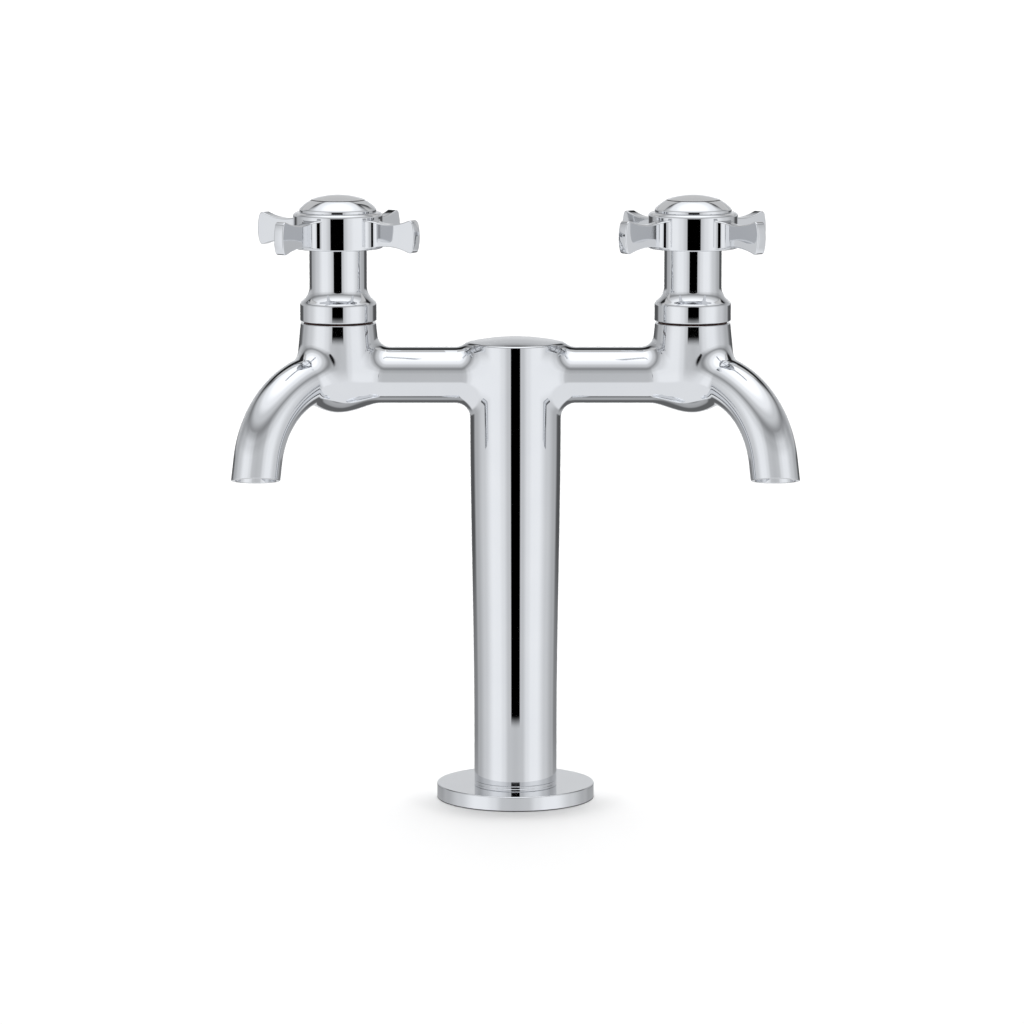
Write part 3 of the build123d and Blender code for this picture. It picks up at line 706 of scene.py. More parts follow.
net_mesh = cut(net_points, net_faces, ends)
print("after cutting:", len(net_mesh.vertices), "points,", len(net_mesh.polygons), "faces")


# %% Points on the rims of the cuts
def mesh_points(mesh):
    """The mesh's points as an array of rows."""
    flat = np.zeros(len(mesh.vertices) * 3, np.float32)
    mesh.vertices.foreach_get("co", flat)
    return flat.reshape(-1, 3).astype(float)


def open_points(mesh):
    """The points on edges that have a face on one side only."""
    edge_of = np.zeros(len(mesh.loops), np.int32)
    mesh.loops.foreach_get("edge_index", edge_of)
    pairs = np.zeros(len(mesh.edges) * 2, np.int32)
    mesh.edges.foreach_get("vertices", pairs)
    once = np.bincount(edge_of, minlength=len(mesh.edges)) == 1
    return np.unique(pairs.reshape(-1, 2)[once])


def rim(points, candidates, centre, facing, depth):
    """One cut's points in order round the end, on the surface and in the plane of the cut.

    Each is moved by the field's value over the slope within the plane. Returns their numbers,
    their places and the surface's normals there.
    """
    away = points[candidates] - centre
    here = (np.abs(away @ facing + depth) < 0.01) & (np.linalg.norm(away, axis=1) < end_reach)
    numbers = candidates[here]
    first = np.cross(facing, [0.0, 1.0, 0.0])
    second = np.cross(facing, first)
    away = points[numbers] - centre
    numbers = numbers[np.argsort(np.arctan2(away @ second, away @ first))]
    found = points[numbers]
    for _ in range(12):
        g = slope(found)
        g -= np.outer(g @ facing, facing)
        found = found - g * (from_casting(*found.T) / (g * g).sum(1))[:, None]
        found -= np.outer((found - centre) @ facing + depth, facing)
    normal = slope(found)
    return numbers, found, normal / np.linalg.norm(normal, axis=1, keepdims=True)


net_points = mesh_points(net_mesh)
edge_points = open_points(net_mesh)
rims = []
for centre, facing, depth in ends:
    numbers, found, normal = rim(net_points, edge_points, centre, facing, depth)
    net_points[numbers] = found
    rims.append((found, normal))
    radius = np.linalg.norm(found - centre + facing * depth, axis=1).mean()
    print("rim of", len(numbers), "points, mean radius", round(float(radius), 3), "mm")

# %% The net as a shell
def net_shell(mesh, points):
    """The net's faces, grouped by their number of corners, with the field's slope as normals."""
    normals = slope(points)
    normals /= np.linalg.norm(normals, axis=1, keepdims=True)
    corner = np.zeros(len(mesh.loops), np.int32)
    mesh.loops.foreach_get("vertex_index", corner)
    first = np.zeros(len(mesh.polygons), np.int32)
    mesh.polygons.foreach_get("loop_start", first)
    sides = np.zeros(len(mesh.polygons), np.int32)
    mesh.polygons.foreach_get("loop_total", sides)
    groups = []
    for count in np.unique(sides):
        faces = corner[first[sides == count][:, None] + np.arange(count)]
        groups.append((faces, normals[faces], 0))
    return points, groups


shells = [net_shell(net_mesh, net_points)]
print("faces of the net by corners:", {f.shape[1]: len(f) for f, n, k in shells[0][1]})

# %% [markdown]
# A lip turns the surface's own normal towards the end's. For a plain round that is a quarter of
# a circle; where the wall leans already, as on top of an arm, less of a turn is left, and the
# round is scaled up so that it still ends at the same height. The column's top is a low dome, so
# there the turn stops short, at the tilt with which the dome's arc starts.

# %% Lips, faces and bores
def lip(found, normal, facing, depth, last=np.pi / 2, count=8):
    """Rows from the cut to the face: a point moves by the radius times its normal's change.

    The normal climbs evenly from its own lean to the last angle. Each column's radius is what
    makes it rise by the depth.
    """
    level = normal - np.outer(normal @ facing, facing)
    level /= np.linalg.norm(level, axis=1, keepdims=True)
    lean = np.arcsin(np.clip(normal @ facing, -1, 1))
    climb = lean + np.linspace(0, 1, count + 1)[:, None] * (last - lean)
    normals = np.cos(climb)[..., None] * level + np.sin(climb)[..., None] * facing
    radius = depth / ((normals[-1] - normals[0]) @ facing)
    return found + radius[:, None] * (normals - normals[0]), normals


def strip(rows, normals, finish=0):
    """Bands from row to row round an end, closed by the first column."""
    rows = np.concatenate([rows, rows[:, :1]], 1)
    normals = np.concatenate([normals, normals[:, :1]], 1)
    return bands(rows[:-1], normals[:-1], rows[1:], normals[1:], finish)


def angles_round(found, centre):
    """Each rim point's plan angle round the end's centre, with the first one again at the end."""
    angle = np.arctan2(found[:, 1] - centre[1], found[:, 0] - centre[0])
    return np.append(angle, angle[0])


def face_between(row, found, centre, facing, radius, height, finish=0):
    """The flat ring from a lip's last row in to a circle at the angles of the rim's points."""
    angle = angles_round(found, centre)[:-1]
    inner = np.stack([centre[0] + radius * np.cos(angle), centre[1] + radius * np.sin(angle),
                      height + 0 * angle], -1)
    flat = np.broadcast_to(facing, (2,) + row.shape)
    return strip(np.stack([row, inner]), flat, finish)


trial, _ = lip(rims[1][0], rims[1][1], -up, foot_round)
print("the foot's lip comes in by", round(float(np.hypot(*(trial[0] - trial[-1])[0, :2])), 3), "mm")


# %% The column's top: a low dome inside its round
def dome(row, lip_normals, apex, count=14):
    """Arcs from the lip's end to the apex, where all of them are level.

    An arc of chord (reach, rise) that ends level starts with a tilt of twice the chord's angle.
    Over the arms the rim isn't round, so the normal's direction passes from the lip's own to
    the one away from the axis within the first rows.
    """
    reach = np.linalg.norm(row[:, :2], axis=1)
    rise = apex - row[:, 2]
    tilt = 2 * np.arctan2(rise, reach)
    radius = reach / np.sin(tilt)
    share = np.linspace(1, 0, count + 1)[:, None]
    away = row * [1, 1, 0] / reach[:, None]
    r, z = radius * np.sin(tilt * share), radius * np.cos(tilt * share) - radius * np.cos(tilt)
    rows = r[..., None] * away + (row[:, 2] + z)[..., None] * up
    level = lip_normals * [1, 1, 0]
    level /= np.linalg.norm(level, axis=1, keepdims=True)
    near = share[..., None] ** 6
    level = near * level + (1 - near) * away
    level /= np.linalg.norm(level, axis=-1, keepdims=True)
    angle = (tilt * share)[..., None]
    return rows, np.cos(angle) * up + np.sin(angle) * level


(centre, facing, depth), (found, normal) = ends[0], rims[0]
apex = column_top + column_dome
rows, normals = lip(found, normal, facing, depth, np.pi / 2 - dome_edge_tilt)
tilt = 2 * np.arctan2(apex - rows[-1][:, 2], np.linalg.norm(rows[-1][:, :2], axis=1))
rows, normals = lip(found, normal, facing, depth, np.pi / 2 - tilt)
shells.append(strip(rows, normals))
shells.append(strip(*dome(rows[-1], normals[-1], apex)))
print("dome's tilt at its edge:", np.round(np.degrees([tilt.min(), tilt.max()]), 1), "degrees")

# %% The column's foot, with the socket for the tail and the waterway above it
column_wall, crown, crown_round = 3.2, 3.6, 3.0
seal_wide, seal_deep, socket_top = 2.6, 1.6, 23.4
seal_r, seal_top, socket_r = thread_r + seal_wide, foot_z + seal_deep, thread_r + snug
(centre, facing, depth), (found, normal) = ends[1], rims[1]
rows, normals = lip(found, normal, facing, depth)
shells.append(strip(rows, normals))
shells.append(face_between(rows[-1], found, centre, facing, seal_r, foot_z))
low_r, high_r = foot_r - column_wall, top_r - column_wall
waterway = corners([(0, column_top - crown), (high_r, column_top - crown), (high_r, flare_end),
                    (low_r, flare_start), (low_r, socket_top + low_r - socket_r),
                    (socket_r, socket_top), (socket_r, seal_top), (seal_r, seal_top),
                    (seal_r, foot_z)], [crown_round, 0, 0, 0, 0, 0, 0])
shells.append(carried(waterway, angles_round(found, centre), centre[:2], 1))
print("waterway:", 2 * low_r, "mm across at the foot and", round(2 * high_r, 1), "mm at the top")

# %% The rims of the valve bodies, with the tapped mouth, the seat and the chamber under it
mouth_r, thread_deep, chamber_r = thread_r, 9.6, thread_r - 0.5
seat_z, seat_r, seat_land, seat_high = arm_z, 5.5, 1.7, 1.5
diaphragm, inlet_r, inlet_low = 2.6, 9.0, 151.4
chamber_low, inlet_top = seat_z - seat_high, seat_z - seat_high - diaphragm
cavity = corners([(mouth_r, rim_z), (mouth_r, rim_z - thread_deep),
                  (chamber_r, rim_z - thread_deep - mouth_r + chamber_r), (chamber_r, chamber_low),
                  (seat_r + seat_land, chamber_low), (seat_r + seat_land, seat_z),
                  (seat_r, seat_z), (seat_r, inlet_top), (inlet_r, inlet_top),
                  (inlet_r, inlet_low), (0, inlet_low)])
for (centre, facing, depth), (found, normal) in zip(ends[2:4], rims[2:4]):
    rows, normals = lip(found, normal, facing, depth)
    shells.append(strip(rows, normals))
    shells.append(face_between(rows[-1], found, centre, facing, mouth_r, rim_z))
    shells.append(carried(cavity, angles_round(found, centre), centre[:2], 1))
print("the seats lie", round(rim_z - seat_z, 1), "mm under the rims")

# %% The mouths of the spouts: outer round, land, inner round, and the bore round the bend
def bore_ring(side, angle, radius, turn, past=0.0):
    """Points round the centre line after a turn of the bend, and past it on the straight end."""
    away = outward[side]
    along = away * np.cos(turn) - up * np.sin(turn)
    over = away * np.sin(turn) + up * np.cos(turn)
    across = np.cross(along, over)
    middle = (np.array([side * tap_x, 0, arm_z]) + away * (spout_root + bend_r * np.sin(turn))
              - up * bend_r * (1 - np.cos(turn)) + along * past)
    ray = np.multiply.outer(np.cos(angle), over) + np.multiply.outer(np.sin(angle), across)
    return middle + radius * ray, -ray, along


inner_round, bore_start_turn, last_straight = 0.25, 0.112, 4.0
for side, (centre, facing, depth), (found, normal) in zip((-1, 1), ends[4:], rims[4:]):
    rows, normals = lip(found, normal, facing, depth)
    shells.append(strip(rows, normals))
    away = outward[side]
    along = away * np.cos(bend) - up * np.sin(bend)
    over = away * np.sin(bend) + up * np.cos(bend)
    across = np.cross(along, over)
    spoke = found - centre
    angle = np.arctan2(spoke @ across, spoke @ over)
    circle, inwards, _ = bore_ring(side, angle, bore_r, bend, spout_end)
    depth_of = (circle - centre) @ facing
    edge = circle - np.outer((depth_of + inner_round) / (along @ facing), along)
    inner_rows, inner_normals = lip(edge, inwards, facing, inner_round, count=6)
    land = np.stack([rows[-1], inner_rows[-1]])
    shells.append(strip(land, np.broadcast_to(facing, land.shape)))
    shells.append(strip(inner_rows[::-1], inner_normals[::-1]))
    stations = [(bend, past) for past in (last_straight, 0.0)]
    stations += [(turn, 0.0) for turn in np.linspace(bend, bore_start_turn, 13)[1:]]
    rings = [bore_ring(side, angle, bore_r, turn, past)[:2] for turn, past in stations]
    bore_rows = np.stack([edge] + [p for p, n in rings])
    bore_normals = np.stack([inwards] + [n for p, n in rings])
    shells.append(strip(bore_rows[:2], bore_normals[:2]))
    shells.append(strip(bore_rows[1:], bore_normals[1:], 1))
    stop = bore_ring(side, angle, 0.0, bore_start_turn)[0]
    end_face = np.stack([bore_rows[-1], stop])
    facing_in = bore_ring(side, angle, 0.0, bore_start_turn)[2]
    shells.append(strip(end_face, np.broadcast_to(facing_in, end_face.shape), 1))
print("spouts: bore", 2 * bore_r, "mm across, wall", round(spout_r - bore_r, 2), "mm at the mouth")

# %% Put the casting together
casting = make("casting", shells, [chrome, cast_brass], "root", "tap_body")
bpy.data.meshes.remove(net_mesh)
print("its lowest and highest corner:", [tuple(round(v / mm, 2) for v in casting.bound_box[k])
                                         for k in (0, 6)])

# %% [markdown]
# ## The turned pieces
#
# Flange, bonnet shrouds, hubs and caps were turned on a lathe, polished and plated. Each one is
# an outline carried round its axis. Sharp corners carry a small round, as a polished edge does:
# it catches the light as a fine line.

# %% Flange with its raised land, the tail's hole and the gasket's groove
flange_r, flange_top, painted_shade_height = 30.0, 5.7, 0.4
hole_r, groove_wall, groove_out, groove_deep = thread_r + loose, 1.2, 27.0, 1.2
groove_in = hole_r + groove_wall
# The underside out from the groove, the bottom round and the lowest 0.4 mm of the rim take the painted
# shade line, standing in for the shade where the flange meets the deck.
flange_foot = corners([(groove_out, 0), (flange_r, 0), (flange_r, painted_shade_height)], [0.25])
flange_profile = corners([(flange_r, painted_shade_height), (flange_r, flange_top), (foot_r, flange_top),
                          (foot_r, foot_z), (hole_r, foot_z), (hole_r, 0), (groove_in, 0),
                          (groove_in, groove_deep), (groove_out, groove_deep), (groove_out, 0)],
                         [0.5, 0.15, 0.25, 0, 0, 0, 0, 0])
make("flange", [turned(flange_profile, 192), turned(flange_foot, 192, 1)], [chrome, painted_shade_line],
     "root", "base_flange")

# %% [markdown]
# The pieces of a tap's top are given in heights above the rim of its valve body. The bonnet
# shroud is a thin cover that hides the brass headwork, so its inside follows its outside one
# millimetre in. It could get that wall from a Solidify modifier, but then its seam line would not
# be square.

# %% Bonnet shroud: skirt, shoulder and neck
shroud_wall, shroud_seam, skirt_r, neck_r = 1.0, 0.7, 14.45, 10.85
skirt_top, neck_low, neck_top = 7.6, 10.5, 29.2
edge, shoulder_round, neck_round = 0.4, 2.0, 6.4
shoulder_lean = np.arctan2(skirt_r - neck_r, neck_low - skirt_top)
drop = shroud_wall * np.tan(shoulder_lean / 2)
skirt_in, neck_in = skirt_r - shroud_wall, neck_r - shroud_wall
shroud_profile = corners([(skirt_in, shroud_seam), (skirt_r, shroud_seam), (skirt_r, skirt_top),
                          (neck_r, neck_low), (neck_r, neck_top), (neck_in, neck_top),
                          (neck_in, neck_low - drop), (skirt_in, skirt_top - drop)],
                         [edge, shoulder_round, neck_round, edge, 0, neck_round + shroud_wall,
                          shoulder_round - shroud_wall], closed=True)
shroud_shell = turned(shroud_profile)
print("the shoulder leans in by", round(np.degrees(shoulder_lean), 1), "degrees")

# %% Handle hub, with the recess over the shroud's neck and the socket for the cap
hub_r, hub_low, hub_top, hub_web = 16.9, 28.2, 41.7, 6.0
recess_r, recess_top, cap_socket_r = neck_r + 0.55, hub_low + 2.5, 9.0
hub_profile = corners([(0, recess_top), (recess_r, recess_top), (recess_r, hub_low),
                       (hub_r, hub_low), (hub_r, hub_top), (cap_socket_r, hub_top),
                       (cap_socket_r, recess_top + hub_web), (0, recess_top + hub_web)],
                      [0.3, 0.3, 0.5, 1.4, 0.2, 0.3])
hub_shell = turned(hub_profile)
print("the hub hides", round(neck_top - hub_low, 1), "mm of the shroud's neck")

# %% [markdown]
# A domed cap is pressed into the hub and hides the screw. Its side slopes in to a rim, and round
# the crown runs a fine groove, coloured with painted shade so that it shows as a dark line. A low
# dome that is level in its middle has only one radius for its width and height, so its bow is worked
# out.

# %% Handle cap: spigot, land, sloping side, groove and crown
cap_r, cap_land, cap_high, cap_wall = 14.5, 1.2, 4.8, 1.8
spigot_r, spigot_deep, side_bow = cap_socket_r - snug, 2.8, 0.24
crown_r, crown_high = 9.88, 1.7
cap_top = hub_top + cap_high
groove_line = [(r, cap_top - down)
               for r, down in ((10.25, 0.28), (10.04, 0.54), (9.72, 0.30), (9.92, 0.03))]


def dome_side(rim, rise):
    """The arc from a dome's rim to its middle, where it is level: its radius is the rim's radius
    squared plus the rise squared, over twice the rise."""
    radius = (rim[0] ** 2 + rise ** 2) / (2 * rise)
    half_chord = np.hypot(rim[0], rise) / 2
    return bowed(rim, (0, rim[1] + rise), radius - np.sqrt(radius ** 2 - half_chord ** 2))


cap_corners = [(0, cap_top - cap_wall), (spigot_r - cap_wall, cap_top - cap_wall),
               (spigot_r - cap_wall, hub_top - spigot_deep), (spigot_r, hub_top - spigot_deep),
               (spigot_r, hub_top), (cap_r, hub_top), (cap_r, hub_top + cap_land)]
cap_sides = [straight(a, b) for a, b in zip(cap_corners, cap_corners[1:])]
cap_sides.append(bowed(cap_corners[-1], groove_line[0], side_bow))
crown_sides = [straight(groove_line[-1], (crown_r, cap_top)),
               dome_side((crown_r, cap_top), crown_high)]
cap_shells = [turned(outline(cap_sides, [0, 0, 0.2, 0, 0.15, 1.0])),
              # The groove's faces take the second finish, the painted shade line.
              turned(corners(groove_line), finish=1), turned(outline(crown_sides, [0.03]))]
print("a tap is", rim_z + cap_top + crown_high, "mm high above the deck")

# %% [markdown]
# ## The paddles of the cross handle
#
# Each of the four paddles is a plate on edge that dips behind the hub, widens to its tip, ends
# in a soft bow and runs into the hub with a round in plan. It could be cut from a box with
# bevels, but its outline is a curve and its foot spreads. Here the side outline is carried
# through the thickness, with half a millimetre of round at its edges, and the thickness is a
# function of the distance from the axis, so that the foot meets the hub as a fillet.

# %% A paddle's thickness, from above
half_thick, edge_round, foot_fillet = 2.1, 0.5, 4.0


def plan(r):
    """Half the thickness at a distance from the axis, and the side's normal in plan.

    Past the foot it is constant. In the foot the side follows a circle that touches both the
    plate and the hub: its point at distance r comes from the cosine rule.
    """
    centre_y = half_thick + foot_fillet
    reach = hub_r + foot_fillet
    centre_x = np.sqrt(reach ** 2 - centre_y ** 2)
    cosine = (r ** 2 + reach ** 2 - foot_fillet ** 2) / (2 * r * reach)
    angle = np.arctan2(centre_y, centre_x) - np.arccos(np.clip(cosine, -1, 1))
    x, y = r * np.cos(angle), r * np.sin(angle)
    foot = r < np.hypot(centre_x, half_thick)
    normal = np.stack([(centre_x - x) / foot_fillet, (centre_y - y) / foot_fillet], -1)
    normal /= np.linalg.norm(normal, axis=-1, keepdims=True)
    return np.where(foot, y, half_thick), np.where(foot[..., None], normal, [0.0, 1.0])


print("half thickness at the hub and 2 mm out:", plan(hub_r + np.array([0.0, 2.0]))[0].round(2))

# %% One paddle, pointing along +X from the handle's axis
paddle_middle = (hub_low + hub_top) / 2 - 0.85
tip_r, corner_r, tip_half, corner_round = 36.9, 35.6, 6.65, 1.6
waist_r, waist_half, root_half = hub_r + 3.4, 4.55, 5.4
into_hub, edge_steps = 1.08, 6


def paddle():
    """The plate: an edge band round the side outline, the two sides, and the end in the hub."""
    chord = np.hypot(tip_r - corner_r, tip_half)
    tip_radius = chord ** 2 / (2 * (tip_r - corner_r))
    rise = tip_radius - np.sqrt(tip_radius ** 2 - chord ** 2 / 4)
    top = through((corner_r, tip_half), (waist_r, waist_half), (hub_r, root_half))

    def top_and_on(t):
        return top(np.asarray(t, float) * into_hub)
    points, before, after = outline([bowed((tip_r, 0), (corner_r, tip_half), rise), top_and_on],
                                    [corner_round], [6, 24])
    normals = np.concatenate([before[:1], after])
    turn = np.linspace(0, np.pi / 2, edge_steps)
    shells = []
    for half in (1, -1):
        rows, row_normals = [], []
        for side in (1, -1):
            for a in (turn if side > 0 else turn[::-1]):
                flat = points - edge_round * (1 - np.sin(a)) * normals
                r, z = flat[:, 0], flat[:, 1]
                thick, out = plan(r)
                y = thick - edge_round * (1 - np.cos(a))
                x = np.sqrt(r ** 2 - y ** 2)
                rows.append(np.stack([x, side * y, paddle_middle + half * z], -1))
                radial = np.stack([x / r, side * y / r], -1) * normals[:, :1]
                rim_normal = np.column_stack([radial, half * normals[:, 1]])
                side_normal = np.column_stack([out * [1, side], 0 * r])
                row_normals.append(np.sin(a) * rim_normal + np.cos(a) * side_normal)
        rows, row_normals = np.stack(rows), np.stack(row_normals)
        row_normals /= np.linalg.norm(row_normals, axis=-1, keepdims=True)
        shells.append(bands(rows[:-1], row_normals[:-1], rows[1:], row_normals[1:]))
        if half > 0:
            upper, upper_normals = rows, row_normals
    for k in (0, -1):
        shells.append(bands(rows[k][None], row_normals[k][None],
                            upper[k][None], upper_normals[k][None]))
    back = np.broadcast_to([-1.0, 0.0, 0.0], rows[:, -1].shape)[None]
    shells.append(bands(rows[:, -1][None], back, upper[:, -1][None], back))
    return shells


paddle_shells = paddle()
print("a paddle has", len(paddle_shells), "shells and reaches", tip_r, "mm from the axis")

# %% Both taps: shroud, handle and cap
for tap, side, angle in (("left", -1, 55.0), ("right", 1, 42.0)):
    at = (side * tap_x, 0.0, rim_z)
    handle = [placed(hub_shell, angle, at)]
    handle += [placed(shell, angle + 90 * n, at) for n in range(4) for shell in paddle_shells]
    make(f"{tap}_shroud", [placed(shroud_shell, 0, at)], [chrome], "root",
         f"{tap}_bonnet_shroud")
    make(f"{tap}_handle", handle, [chrome], f"{tap}_handle",
         f"{tap}_cross_handle")
    make(f"{tap}_cap", [placed(shell, angle, at) for shell in cap_shells], [chrome, painted_shade_line],
         f"{tap}_handle", f"{tap}_handle_cap")

# %% [markdown]
# ## Under the deck
#
# A rubber washer and a steel one lie against the underside, and a brass backnut on the threaded
# tail holds the tap. The thread is a wave along the tail's profile that is shifted by one pitch
# for each turn. It could be a screw modifier, but as a function of height and angle it can fade
# out at the top, where the tail goes plain inside the foot.

# %% Gasket and washers
deck_under, washer_thick, rubber_r, steel_r = -20.0, 2.0, 22.0, 20.0
steel_top = deck_under - washer_thick


def ring(inner, outer, low, high, round_off):
    """A flat ring with small rounds at its four edges."""
    sides = [(inner, low), (outer, low), (outer, high), (inner, high)]
    middle = ((inner + outer) / 2, low)
    return turned(corners([middle] + sides[1:] + [sides[0]], [round_off] * 4, closed=True))


make("gasket", [ring(groove_in + snug, groove_out - snug, 0.0, groove_deep, 0.2)], [rubber],
     "root", "base_gasket")
make("washer_rubber", [ring(hole_r, rubber_r, steel_top, deck_under, 0.4)], [rubber],
     "root", "deck_washer")
make("washer_steel", [ring(hole_r, steel_r, steel_top - washer_thick, steel_top, 0.3)],
     [zinc_steel], "root", "clamp_washer")


# %% Backnut: a flange, and six flats whose corners are turned off below
nut_r, nut_across, nut_flange_r, nut_chamfer_r = thread_r + snug, 27.0, 17.0, 13.2
nut_top = steel_top - washer_thick
nut_flange_low, nut_low = nut_top - 2.0, nut_top - 8.0
chamfer_angle = np.radians(30)


def backnut(per_side=12):
    """Six sides, each with its own columns, so that the corners between them stay sharp.

    On a side the distance from the axis is half the width over the cosine of the angle from its
    middle. The chamfer is a cone of 30 degrees, so it cuts a bow into each side.
    """
    flange_from = nut_across / np.sqrt(3) + 0.3
    rounded = corners([(flange_from, nut_flange_low), (nut_flange_r, nut_flange_low),
                       (nut_flange_r, nut_top), (nut_r, nut_top), (nut_r, nut_low)],
                      [0.4, 0.4, 0])
    shells = []
    for side in range(6):
        local = np.radians(np.linspace(-30, 30, per_side + 1))
        middle = np.radians(60 * side + 30)
        angle = local + middle
        out = np.stack([np.cos(angle), np.sin(angle), 0 * angle], -1)
        flat = np.array([np.cos(middle), np.sin(middle), 0]) + 0 * out
        slanted = out * np.sin(chamfer_angle) - up * np.cos(chamfer_angle)
        hexagon = nut_across / 2 / np.cos(local)[:, None]
        chamfer_z = nut_low + np.maximum(hexagon - nut_chamfer_r, 0) * np.tan(chamfer_angle)
        rows = [out * nut_r + up * nut_low, out * nut_chamfer_r + up * nut_low,
                out * hexagon + up * chamfer_z, out * hexagon + up * nut_flange_low,
                out * flange_from + up * nut_flange_low]
        for k, normals in enumerate((-up + 0 * out, slanted, flat, -up + 0 * out)):
            shells.append(bands(rows[k][None], normals[None], rows[k + 1][None], normals[None]))
        shells.append(carried(rounded, angle))
    return shells


make("backnut_piece", backnut(), [brass], "root", "backnut")

# %% Threaded tail
tail_bore, tail_bore_low, tail_sides, row_step = 6.5, 7.25, 72, 0.2
tail_low, tail_top, step_z = -60.0, foot_z + 13.5, -45.0
thread_pitch, thread_depth, thread_end, thread_fade = 1.814, 1.162, 2.0, 3.0
relief_low, relief_high, relief_r, chamfer_r = -40.0, -38.5, thread_r - 1.1, 9.93


def tail_radius(z, angle):
    """The crest's radius, less half the depth times one plus the cosine of the thread's phase.

    The wave fades out above the deck. The lowest half millimetre is a chamfer, and a relief
    groove holds nothing but lets the thread's cutter run out.
    """
    phase = 2 * np.pi * z / thread_pitch - angle
    fade = np.clip((thread_end - z) / thread_fade, 0, 1)
    wave = thread_r - fade * thread_depth * (0.5 - 0.5 * np.cos(phase))
    wave = np.minimum(wave, chamfer_r + (z - tail_low))
    relief = (z > relief_low) & (z < relief_high)
    return np.where(relief, np.minimum(wave, relief_r), wave)


def tail():
    """A net over height and angle outside; ends and bore are plain outlines."""
    rows = np.append(np.arange(tail_low, thread_end + row_step, row_step),
                     [tail_top, relief_low - 0.001, relief_high - 0.001])
    rows.sort()
    angle = np.linspace(0, 2 * np.pi, tail_sides + 1)
    z, a = np.meshgrid(rows, angle, indexing="ij")

    def point(z, a):
        r = tail_radius(z, a)
        return np.stack([r * np.cos(a), r * np.sin(a), z], -1)
    grid = point(z, a)
    grid[:, -1] = grid[:, 0]
    round_it = point(z, a + 1e-3) - point(z, a - 1e-3)
    upwards = point(z + 1e-3, a) - point(z - 1e-3, a)
    normal = np.cross(round_it, upwards)
    normal /= np.linalg.norm(normal, axis=-1, keepdims=True)
    outside = bands(grid[:-1], normal[:-1], grid[1:], normal[1:])
    bore = corners([(tail_bore, tail_top), (tail_bore, step_z), (tail_bore_low, step_z),
                    (tail_bore_low, tail_low)])
    inner = turned(bore, tail_sides)
    ends = []
    for k, z_end, r_end in ((0, tail_low, tail_bore_low), (-1, tail_top, tail_bore)):
        rim_row = grid[k]
        inner_row = np.stack([r_end * np.cos(angle), r_end * np.sin(angle), z_end + 0 * angle], -1)
        inner_row[-1] = inner_row[0]
        facing = np.broadcast_to(up if k else -up, rim_row.shape)
        ends.append(bands(inner_row[None], facing[None], rim_row[None], facing[None]))
    return [outside, inner] + ends


make("tail", tail(), [brass], "root", "inlet_shank")

# %% [markdown]
# ## The studio
#
# The tap stood on white paper in a white room, and chrome shows the room more than itself. The
# paper is a plain square. Mirrored rays pass through it, because the room's own gradient already
# says how bright the paper looks from each direction.

# %% Paper under the tap
paper_reach = 30
paper_corners = [(x * paper_reach, y * paper_reach, 0)
                 for x, y in ((-1, -1), (1, -1), (1, 1), (-1, 1))]
floor_mesh = bpy.data.meshes.new("floor")
floor_mesh.from_pydata(paper_corners, [], [(0, 1, 2, 3)])
floor = bpy.data.objects.new("floor", floor_mesh)
bpy.context.scene.collection.objects.link(floor)
floor.visible_glossy = False
paper, shader = finish("white paper", (0.8, 0.8, 0.8), 0.9)
floor_mesh.materials.append(paper)
print("paper:", 2 * paper_reach, "m wide")

# %% [markdown]
# ## The room as a gradient by direction
#
# What the chrome mirrors depends on the direction in which a mirrored ray leaves: its azimuth,
# from 0 on the viewer's side to 180 behind the tap, alike on the left and the right, and its
# elevation over the horizon. The room could be built from large cards, but a gradient has no
# edges of its own that the polish would mirror by mistake. Two helpers do the sums on sockets:
# one is a step of arithmetic, the other a colour ramp with stops of (degrees, brightness).

# %% Arithmetic and gradients on sockets
def arithmetic(tree):
    """A function that adds one step of arithmetic, on sockets and numbers, to this node tree."""
    def step(operation, *values):
        node = tree.nodes.new("ShaderNodeMath")
        node.operation = operation
        for socket, value in zip(node.inputs, values):
            if isinstance(value, (int, float)):
                socket.default_value = value
            else:
                tree.links.new(value, socket)
        return node.outputs["Value"]
    return step


world = bpy.data.worlds.new("studio")
bpy.context.scene.world = world
world.use_nodes = True
tree = world.node_tree
math = arithmetic(tree)
brightest = 1.5


def graded(value, low, high, *stops):
    """Brightness by a value from low to high, eased between (place, brightness) stops."""
    node = tree.nodes.new("ShaderNodeValToRGB")
    ramp = node.color_ramp
    ramp.interpolation = "EASE"
    while len(ramp.elements) < len(stops):
        ramp.elements.new(0.5)
    for element, (place, brightness) in zip(ramp.elements, stops):
        element.position = (place - low) / (high - low)
        element.color = (*(3 * [brightness / brightest]), 1.0)
    tree.links.new(math("DIVIDE", math("SUBTRACT", value, low), high - low), node.inputs["Fac"])
    return math("MULTIPLY", node.outputs["Color"], brightest)


def both(first, second):
    """The product of two shares."""
    return math("MULTIPLY", first, second)


def mixed(share, first, second):
    """The first value, passing to the second as the share goes from 0 to 1."""
    return math("ADD", math("MULTIPLY", first, math("SUBTRACT", 1.0, share)),
                math("MULTIPLY", second, share))


direction = tree.nodes.new("ShaderNodeTexCoord")
split = tree.nodes.new("ShaderNodeSeparateXYZ")
tree.links.new(direction.outputs["Generated"], split.inputs["Vector"])
x, y, z = split.outputs
elevation = math("DEGREES", math("ARCSINE", z))
azimuth = math("DEGREES", math("ARCTAN2", math("ABSOLUTE", x), math("MULTIPLY", y, -1.0)))
print("nodes for a ray's azimuth and elevation:", len(tree.nodes))

# %% [markdown]
# The walls are brightest some 50 degrees to each side of the viewer, and dimmer in front, behind
# and higher up. The ceiling starts dim and is brightest overhead, which gives the domes and the
# tops of the arms their white. Far below the horizon a mirrored ray meets the bright paper.

